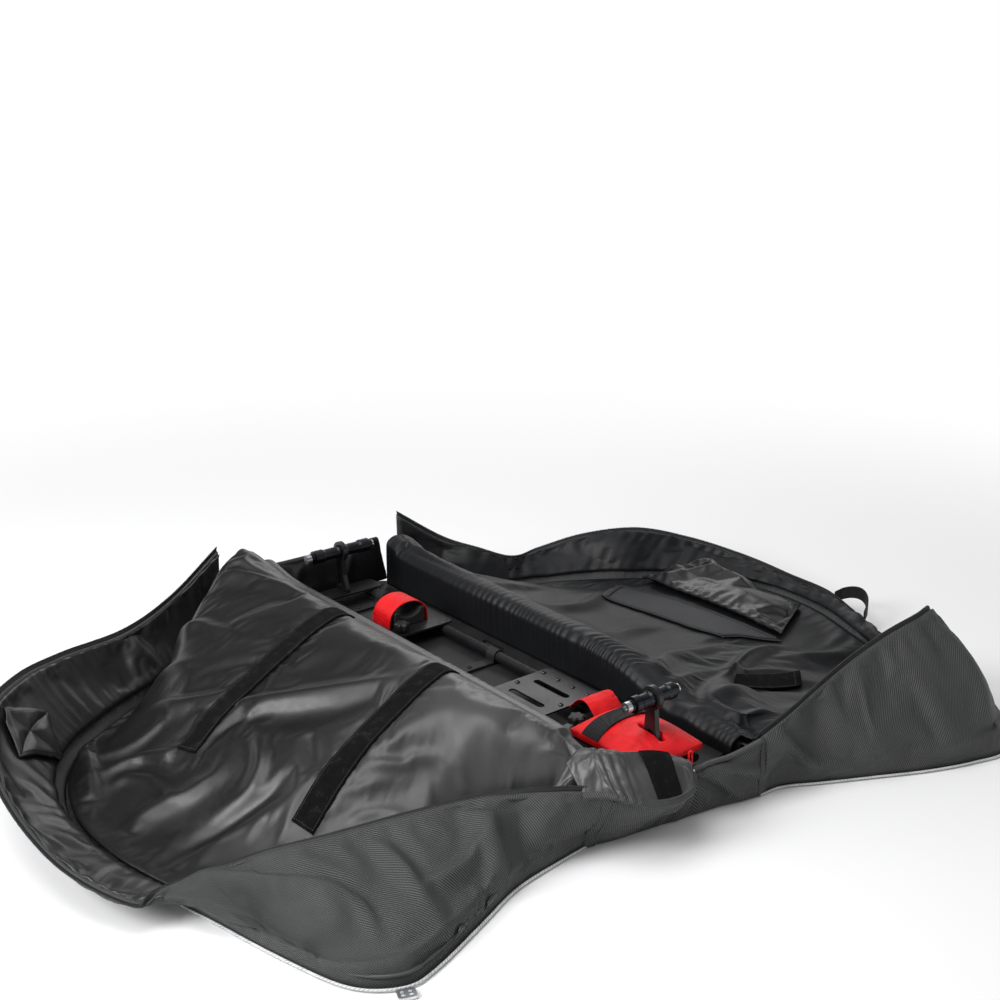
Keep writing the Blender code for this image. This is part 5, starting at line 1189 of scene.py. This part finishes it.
# Far panel's fittings: a pocket of knotted mesh with a bound edge, a padded flap over it, and a loop strip. The
# mesh has cells of about 4 mm, whose threads look grey against the dark cloth behind them.
mesh_net, tree, shader = start_material("polyester_mesh_net", "0C0C0D", 0.6)
where = node(tree, "ShaderNodeUVMap", uv_map="weave")
cell = {"Vector": where.outputs["UV"], "Scale": 260.0, "Randomness": 0.12}
cells = node(tree, "ShaderNodeTexVoronoi", cell, feature="DISTANCE_TO_EDGE")
tint(tree, shader, cells.outputs["Distance"], ((0.10, "35363A"), (0.22, "070708")))
emboss(tree, shader, cells.outputs["Distance"], 0.0015, 0.8, invert=True)
pocket_corners = ((0.15, 0.62), (0.10, 0.50), (-0.20, 0.458), (-0.29, 0.584))
net_thickness = 0.0012
binding_tape = (0.010, 0.0026)
grid = laid(far_surface, pocket_corners, (70, 30), strip_lift)
pocket = patch(
    "far_pocket_net", grid, net_thickness, mesh_net, "far_half", "mesh_net", "far_mesh_pocket", (0.02, 0.04)
)
border = np.concatenate(border_lines(grid, (0.001, 0.001), 0.0006))
up = np.broadcast_to(np.array([0, 0, 1.0]), border.shape)
way = np.gradient(border, axis=0)
way /= np.maximum(np.linalg.norm(way, axis=1, keepdims=True), 1e-9)
bound = swept("far_pocket_binding", border, np.cross(up, way), up, rounded_profile(*binding_tape))
dress(bound, tape_cloth, "loop_tape", "far_half")

flap_corners = ((0.05, 0.794), (-0.22, 0.776), (-0.27, 0.644), (0.13, 0.638))
flap_points = (90, 40)
grid = laid(faces_of("far_flap"), flap_corners, flap_points, 0.0005)
u, v = np.meshgrid(*(np.linspace(0, 1, count) for count in flap_points), indexing="ij")
# The flap's padding is fullest in its middle, and its sewn edge puckers finely.
edge_near = np.minimum(np.minimum(u * 2.2, (1 - u) * 2.2), np.minimum(v, 1 - v))
grid[..., 2] += 0.006 * np.clip(edge_near / 0.16, 0, 1) ** 0.6
grid[..., 2] += 0.0007 * np.sin(u * 95 + 3 * np.sin(v * 5)) * np.exp(-((edge_near / 0.10) ** 2))
far_flap = cloth("far_padded_flap", grid)
settle(far_flap, edge_hold(grid, 0.02), slack=0.02, most=0.0035, bending=1.2)
finish_with(far_flap, "SOLIDIFY", thickness=0.006, offset=-1.0)
dress(far_flap, glossy_pad, "lining_gloss", "far_half", "far_flap")
stitched_round("far_flap", grid, (0.04, 0.09), 0.0006, "far_half")

grid = laid(far_surface, far_strip_corners, (40, 13), 0.0055, 40, 0)
patch(
    "far_front_strip_loop", grid, strip_thickness, loop_pile, "far_half", "loop_tape", "far_front_strip", (0.03, 0.08)
)

# Padded ends of the tray and the small stuffed pieces. Each is a closed foam pad in a sewn cover, so it swells
# between its seams, and its cover creases where it bends.


def copy_of(name, node_name):
    """A merged copy of a CAD node's mesh as a new object."""
    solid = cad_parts[node_name]
    work = bmesh.new()
    work.from_mesh(solid.data)
    bmesh.ops.transform(work, matrix=solid.matrix_world, verts=work.verts[:])
    bmesh.ops.remove_doubles(work, verts=work.verts[:], dist=1e-5)
    mesh = bpy.data.meshes.new(name)
    work.to_mesh(mesh)
    work.free()
    made = bpy.data.objects.new(name, mesh)
    bpy.context.scene.collection.objects.link(made)
    return made


def stuffed(name, node_name, material, body, slot, voxel, pressure, most, folds=()):
    """A stuffed piece on the form of a CAD node, blown up a little by a cloth simulation, with folds pressed in."""
    made = copy_of(name, node_name)
    finish_with(made, "REMESH", mode="VOXEL", voxel_size=voxel)
    finish_with(made, "SMOOTH", factor=0.5, iterations=4)
    put_points(made, points_of(made) - normals_of(made) * most * 0.35)
    loosely = np.full(len(made.data.vertices), 0.01)
    settle(made, loosely, slack=0.03, most=most, bending=0.3, frames=10, pressure=pressure)
    put_points(made, press(points_of(made), normals_of(made), folds))
    finish_with(made, "SUBSURF", levels=1, render_levels=1)
    made.data.shade_smooth()
    dress(made, material, slot, body, node_name)


# Front end of the tray. Ribbed twill over a soft foam sheet stands up from the floor and turns in over its top edge.
# The zip's slider draws it together, so folds run out from there. At each end a gore of the same twill joins it to
# the gusset of a half.
wall_columns = 110
wall_outer_rows = 26
wall_inner_rows = 8
slider_spot = (0.478, 0.012, 0.083)
front_reach = 0.1565
front_known = 0.148
front_shares = np.linspace(0.03, 0.95, 12)
fold_depth = 1.6


def front_profile(host, y):
    """The inner and outer x of the front wall at a y, and its height, felt from above and from both its sides."""
    y = bag.y + max(-front_known, min(front_known, y))
    tops = [host.ray_cast(Vector((x + bag.x, y, 0.5)), Vector((0, 0, -1)))[0] for x in np.linspace(0.44, 0.53, 46)]
    top = max(hit.z for hit in tops if hit)
    outer, inner = [], []
    for s in front_shares:
        outer.append(host.ray_cast(Vector((0.9, y, top * s)), Vector((-1, 0, 0)))[0].x)
        inner.append(host.ray_cast(Vector((0.2, y, top * s)), Vector((1, 0, 0)))[0].x)
    return np.array(inner), np.array(outer), top


host = faces_of("front_wall")
grid = np.zeros((wall_inner_rows + wall_outer_rows, wall_columns, 3))
for k, y in enumerate(np.linspace(-front_reach, front_reach, wall_columns)):
    inner, outer, top = front_profile(host, y)
    up = np.linspace(0.066 / top, 0.98, wall_inner_rows)
    down = np.linspace(1.0, 0.012, wall_outer_rows)
    in_x = np.interp(up, front_shares, inner) - 0.0012
    grid[:wall_inner_rows, k] = np.stack([in_x, up * 0 + y + bag.y, up * top], 1)
    out_x = np.interp(down, front_shares, outer) + 0.0015 * np.clip((1 - down) / 0.05, 0, 1)
    grid[wall_inner_rows:, k] = np.stack([out_x, down * 0 + y + bag.y, down * top + 0.001], 1)
for axis in (0, 2):
    grid[..., axis] = softened(grid[..., axis], 5)
across = normals(grid)
across *= np.sign((across[wall_inner_rows + 8 :] * np.array([1, 0, 0])).sum())
front_folds = (
    (0.008, 0.011, 0.3, slider_spot, (0.492, -0.030, 0.062), (0.508, -0.070, 0.030), (0.508, -0.090, 0.008)),
    (0.007, 0.010, -0.2, slider_spot, (0.482, 0.050, 0.062), (0.490, 0.090, 0.035), (0.494, 0.120, 0.010)),
    (0.006, 0.009, 0.0, slider_spot, (0.476, 0.010, 0.055), (0.472, 0.004, 0.025), (0.470, -0.002, 0.006)),
    (0.007, 0.011, 0.0, (0.480, 0.040, 0.080), (0.490, 0.090, 0.070), (0.496, 0.130, 0.055), (0.500, 0.150, 0.045)),
    (-0.005, 0.010, 0.0, (0.478, 0.030, 0.070), (0.484, 0.065, 0.045), (0.488, 0.090, 0.015)),
    (-0.005, 0.012, 0.0, (0.482, -0.015, 0.070), (0.495, -0.045, 0.040), (0.498, -0.055, 0.010)),
)
grid = press(grid, across, front_folds, fold_depth)
front_twill = cloth("front_wall_twill", grid, None)
if (normals_of(front_twill)[-wall_columns * 6 :, 0]).sum() < 0:
    front_twill.data.flip_normals()
settle(front_twill, edge_hold(grid), slack=0.03, most=0.004, bending=0.3)
finish_with(front_twill, "SOLIDIFY", thickness=0.0018, offset=0.0)
dress(front_twill, twill, "twill", "root", "front_wall")


def front_gore(label, gusset_grid, front_edge):
    """The gore of twill between the front wall and a half's gusset, from the floor to the top."""
    rows = 20
    near_line = evenly(front_edge, rows)[0]
    far_line = evenly(gusset_grid[:, 2], rows)[0]
    shares = np.linspace(0, 1, 9)[None, :, None]
    grid = near_line[:, None] * (1 - shares) + far_line[:, None] * shares
    grid[..., 0] += 0.0012 + 0.001 * np.sin(shares[..., 0] * math.pi)
    made = cloth(f"{label}_front_gore", grid, None)
    if normals_of(made)[:, 0].sum() < 0:
        made.data.flip_normals()
    finish_with(made, "SOLIDIFY", thickness=0.0016, offset=0.0)
    dress(made, twill, "twill")
    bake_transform(made)


outer_face = grid[wall_inner_rows:][::-1]
front_gore("near", near_band, outer_face[:, 2])
front_gore("far", far_band, outer_face[:, -3])

# Padded front corner. A separate cushion of the glossy lining lies on the tray's near front corner. Its cloth is
# pleated in a fan, a strip of loop tape crosses it, and the zip's binding runs round its outer edge to the slider.
# The cushion's form: places from its rear end round to the slider, and across it from its edge to its inner side.
corner_net = (
    ((0.453, -0.187, 0.104), (0.437, -0.185, 0.115), (0.420, -0.182, 0.126), (0.404, -0.178, 0.134)),
    ((0.480, -0.165, 0.109), (0.454, -0.163, 0.129), (0.430, -0.160, 0.143), (0.408, -0.156, 0.151)),
    ((0.505, -0.148, 0.106), (0.473, -0.146, 0.129), (0.448, -0.140, 0.143), (0.426, -0.134, 0.150)),
    ((0.527, -0.122, 0.099), (0.496, -0.114, 0.122), (0.469, -0.103, 0.136), (0.447, -0.093, 0.142)),
    ((0.537, -0.080, 0.094), (0.508, -0.071, 0.117), (0.482, -0.057, 0.128), (0.461, -0.045, 0.132)),
    ((0.527, -0.035, 0.092), (0.508, -0.026, 0.109), (0.493, -0.013, 0.114), (0.479, -0.006, 0.113)),
    ((0.496, 0.002, 0.089), (0.490, 0.003, 0.096), (0.484, 0.002, 0.099), (0.478, 0.000, 0.098)),
)
along_net = np.stack([through(np.array(corner_net)[:, k], 16) for k in range(4)], 1)
grid = np.stack([through(row, 14) for row in along_net]) + shift
count = grid.shape[:2]
u, v = np.meshgrid(np.linspace(0, 1, count[0]), np.linspace(0, 1, count[1]), indexing="ij")
across = normals(grid)
across *= np.sign(across[..., 2].sum())
# Pleats fan out over the part between the gusset and the loop strip, and the cushion swells between its seams.
pleated = np.clip((0.48 - u) / 0.08, 0, 1) * np.clip((u - 0.20) / 0.05, 0, 1)
pleats = np.abs(np.sin((u - 0.05 * v) * 46)) ** 0.6 * pleated
swell = 0.006 * np.sin(math.pi * v) ** 0.6 * np.clip(u / 0.2, 0, 1) * np.clip((1 - u) / 0.15, 0, 1)
grid = grid + across * (pleats * 0.0034 + swell + 0.001)[..., None]
corner_pad = cloth("front_corner_padding", grid)
settle(corner_pad, edge_hold(grid, 0.03), slack=0.02, most=0.003, bending=0.2)
finish_with(corner_pad, "SOLIDIFY", thickness=0.008, offset=-1.0)
dress(corner_pad, glossy_nylon, "lining_gloss", None, "front_corner_pad")
strip_rows = slice(round(count[0] * 0.55), round(count[0] * 0.72))
corner_strip = cloth("front_corner_loop", (grid + across * 0.0026)[strip_rows, 2:-2])
finish_with(corner_strip, "SOLIDIFY", thickness=0.002, offset=-1.0)
dress(corner_strip, loop_pile, "loop_tape", "root")
edge_way = np.gradient(grid[:, 0], axis=0)
edge_way /= np.linalg.norm(edge_way, axis=1, keepdims=True)
edge_up = across[:, 0]
edge_side = np.cross(edge_up, edge_way)
edge_line = grid[:, 0] - edge_up * 0.001
corner_binding = swept("front_corner_binding", edge_line, edge_side, edge_up, rounded_profile(0.012, 0.0065))
dress(corner_binding, twill, "twill")
corner_groove = swept(
    "front_corner_binding_outer", edge_line - edge_up * 0.007, edge_side, edge_up, rounded_profile(0.010, 0.006)
)
dress(corner_groove, twill, "twill")
for piece in (corner_pad, corner_binding, corner_groove):
    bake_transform(piece)
# The binding goes on from the slider along the front end's top edge to the far corner.
far_edge = outer_face[-1][wall_columns // 2 + 6 :] + np.array([0.002, 0, 0.002])
way = np.gradient(far_edge, axis=0)
way /= np.linalg.norm(way, axis=1, keepdims=True)
side_way = np.cross(np.broadcast_to(np.array([0, 0, 1.0]), way.shape), way)
up_way = np.cross(way, side_way)
front_binding = swept("front_wall_binding", far_edge, side_way, up_way, rounded_profile(0.011, 0.006))
dress(front_binding, twill, "twill", "root")
rear_folds = (
    (0.004, 0.010, 0.0, (-0.516, -0.090, 0.090), (-0.516, -0.080, 0.120), (-0.520, -0.070, 0.150)),
    (0.004, 0.010, 0.0, (-0.516, 0.030, 0.090), (-0.516, 0.045, 0.120), (-0.520, 0.050, 0.150)),
)
stuffed(
    "rear_wall_padding", "rear_wall", glossy_pad, "root", "lining_gloss",
    voxel=0.005, pressure=3.0, most=0.006, folds=rear_folds,
)  # fmt: skip

# Red nylon covers of the fork mount and the bracket's strap: bright red 420 denier nylon over foam, with a plain
# satin weave. Its threads lie 0.4 mm apart and are drawn 1.6 mm apart, and soft crumples lie about 40 mm apart.
red_nylon, tree, shader = start_material("red_packcloth", "E0141A", 0.45, Specular_IOR_Level=0.3)
where = node(tree, "ShaderNodeTexCoord")
weave_scale = metre_waves(0.0016)
yarns = {"Vector": where.outputs["Object"], "Scale": weave_scale, "Distortion": 0.5}
warp = node(tree, "ShaderNodeTexWave", yarns, bands_direction="X")
weft = node(tree, "ShaderNodeTexWave", yarns, bands_direction="Y")
woven = node(tree, "ShaderNodeMath", {0: warp.outputs["Fac"], 1: weft.outputs["Fac"]}, operation="MULTIPLY")
# The crumples' noise also colours the red, darker where they sink: painted shade in their hollows.
crumples_and_painted_shade = node(tree, "ShaderNodeTexNoise", {"Vector": where.outputs["Object"], "Scale": 24.0, "Detail": 5.0})
both = node(tree, "ShaderNodeMath", {0: woven.outputs[0], 1: 0.25, 2: crumples_and_painted_shade.outputs["Fac"]}, operation="MULTIPLY_ADD")
tint(tree, shader, both.outputs[0], ((0.25, "A5060B"), (0.55, "E21018"), (0.95, "F4242A")))
crumple = node(tree, "ShaderNodeBump", {"Height": crumples_and_painted_shade.outputs["Fac"], "Distance": 0.010, "Strength": 0.5})
weave = {"Height": woven.outputs[0], "Distance": 0.0007, "Strength": 0.6, "Normal": crumple.outputs[0]}
relief = node(tree, "ShaderNodeBump", weave)
tree.links.new(relief.outputs[0], shader.inputs["Normal"])
stuffed(
    "fork_mount_cover", "front_pad", red_nylon, "front_mount", "red_nylon",
    voxel=0.0035, pressure=4.0, most=0.005,
)  # fmt: skip
stuffed(
    "fork_mount_flap", "front_pad_flap", red_nylon, "front_mount", "red_nylon",
    voxel=0.002, pressure=0.5, most=0.002,
)  # fmt: skip


def eased(name, node_name, material, body, slot, levels=1):
    """A strap or cover on the form of a CAD node, with its edges eased round."""
    made = copy_of(name, node_name)
    finish_with(made, "BEVEL", width=0.0006, segments=1, limit_method="ANGLE")
    finish_with(made, "SUBSURF", levels=levels, render_levels=levels, subdivision_type="SIMPLE")
    finish_with(made, "SMOOTH", factor=0.5, iterations=2)
    made.data.shade_smooth()
    dress(made, material, slot, body, node_name)
    return made


# Straps of black polypropylene webbing: ribs about 1.5 mm apart run along and across them, drawn 2 mm apart here.
webbing, tree, shader = start_material("ribbed_webbing", "0E0E0F", 0.7, Specular_IOR_Level=0.3)
where = node(tree, "ShaderNodeTexCoord")
long_ribs = {"Vector": where.outputs["Object"], "Scale": metre_waves(0.0022), "Distortion": 0.6}
ribs = node(tree, "ShaderNodeTexWave", long_ribs, bands_direction="Z")
short_ribs = {"Vector": where.outputs["Object"], "Scale": metre_waves(0.0018), "Distortion": 0.6}
cross = node(tree, "ShaderNodeTexWave", short_ribs, bands_direction="X")
both = node(tree, "ShaderNodeMath", {0: cross.outputs["Fac"], 1: 0.5, 2: ribs.outputs["Fac"]}, operation="MULTIPLY_ADD")
tint(tree, shader, both.outputs[0], ((0.2, "090909"), (1.0, "202022")))
emboss(tree, shader, both.outputs[0], 0.0010, 0.8)
eased("fork_mount_strap", "front_pad_strap", webbing, "front_mount", "loop_tape")
eased("bracket_strap_red", "bracket_strap", red_nylon, "bracket_rest", "red_nylon")
eased("carry_handle_webbing", "carry_handle", webbing, "carry_handle", "loop_tape", levels=2)
eased("zip_pull_cord", "zip_pull", red_nylon, "zip_pull", "red_nylon")

# Bottom cover of the tray. The same twill wraps the base board from below and is turned up round its edges.
bottom_cloth = eased("bottom_cover_twill", "bottom_cover", moulded_twill, "root", "twill")

# Hardware of the tray. Powder-coated steel rails, plates, posts and forks, moulded board, crossbars, knobs and
# cradle, bright zinc-plated bolts and buckle, anodised hubs, and wheels with rubber treads.


def grained(name, colours, roughness, metallic, scale, depth):
    """A hard finish with a fine grain and slight variation of colour and gloss."""
    made, tree, shader = start_material(name, colours[0], roughness[0], metallic)
    where = node(tree, "ShaderNodeTexCoord")
    grain = node(tree, "ShaderNodeTexNoise", {"Vector": where.outputs["Object"], "Scale": scale, "Detail": 3.0})
    wear = node(tree, "ShaderNodeTexNoise", {"Vector": where.outputs["Object"], "Scale": 18.0, "Detail": 6.0})
    both = {0: grain.outputs["Fac"], 1: 0.3, 2: wear.outputs["Fac"]}
    mixed = node(tree, "ShaderNodeMath", both, operation="MULTIPLY_ADD")
    tint(tree, shader, mixed.outputs[0], ((0.35, colours[0]), (0.85, colours[1])))
    gloss = {"Value": mixed.outputs[0], "From Min": 0.3, "From Max": 0.9}
    gloss |= {"To Min": roughness[0], "To Max": roughness[1]}
    tree.links.new(node(tree, "ShaderNodeMapRange", gloss).outputs[0], shader.inputs["Roughness"])
    emboss(tree, shader, grain.outputs["Fac"], depth, 0.5)
    return made


# Powder coat gives a fine orange peel and a satin shine, and moulded polypropylene a spark-eroded grain. Rubber is
# dull and even, zinc plate bright and smooth, and anodised aluminium a dark satin metal. The grains are 0.2 to 1 mm
# across in fact and are drawn 1 to 3 mm across, and wear is in patches of about 50 mm.
powder_coat = grained("black_powder_coat", ("0E0E10", "1A1A1C"), (0.30, 0.42), 0.0, 500.0, 0.0005)
moulded_black = grained("moulded_polypropylene", ("121213", "1E1E20"), (0.45, 0.6), 0.0, 900.0, 0.0006)
soft_rubber = grained("moulded_rubber", ("141415", "202022"), (0.65, 0.8), 0.0, 700.0, 0.0006)
tread_rubber = grained("wheel_tread_rubber", ("1B1B1C", "2A2A2C"), (0.7, 0.85), 0.0, 600.0, 0.0006)
bright_zinc = grained("bright_zinc_plate", ("B9BBBE", "D6D8DA"), (0.22, 0.35), 1.0, 300.0, 0.0002)
anodised = grained("anodised_aluminium", ("2A2B2E", "3C3D41"), (0.28, 0.4), 1.0, 700.0, 0.0002)
finishes = (
    (powder_coat, ("near_rail", "far_rail", "front_carriage", "front_post", "rear_carriage", "rear_post")),
    (powder_coat, ("rest_plate", "middle_plate", "front_caster_plate", "rear_wheel_forks")),
    (powder_coat, ("front_near_fork", "front_far_fork")),
    (moulded_black, ("tray_board", "rear_crossbar", "middle_crossbar", "front_crossbar")),
    (moulded_black, ("front_lock_knob", "rest_lock_knob")),
    (soft_rubber, ("bracket_cradle",)),
    (tread_rubber, ("front_near_wheel", "front_far_wheel", "rear_near_wheel", "rear_far_wheel")),
    (anodised, ("front_dummy_hub", "rear_dummy_hub")),
    (bright_zinc, ("front_axle", "rear_axle", "zip_slider", "near_buckle", "far_hook")),
)
for finish, names in finishes:
    for name in names:
        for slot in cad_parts[name].material_slots:
            slot.material = finish
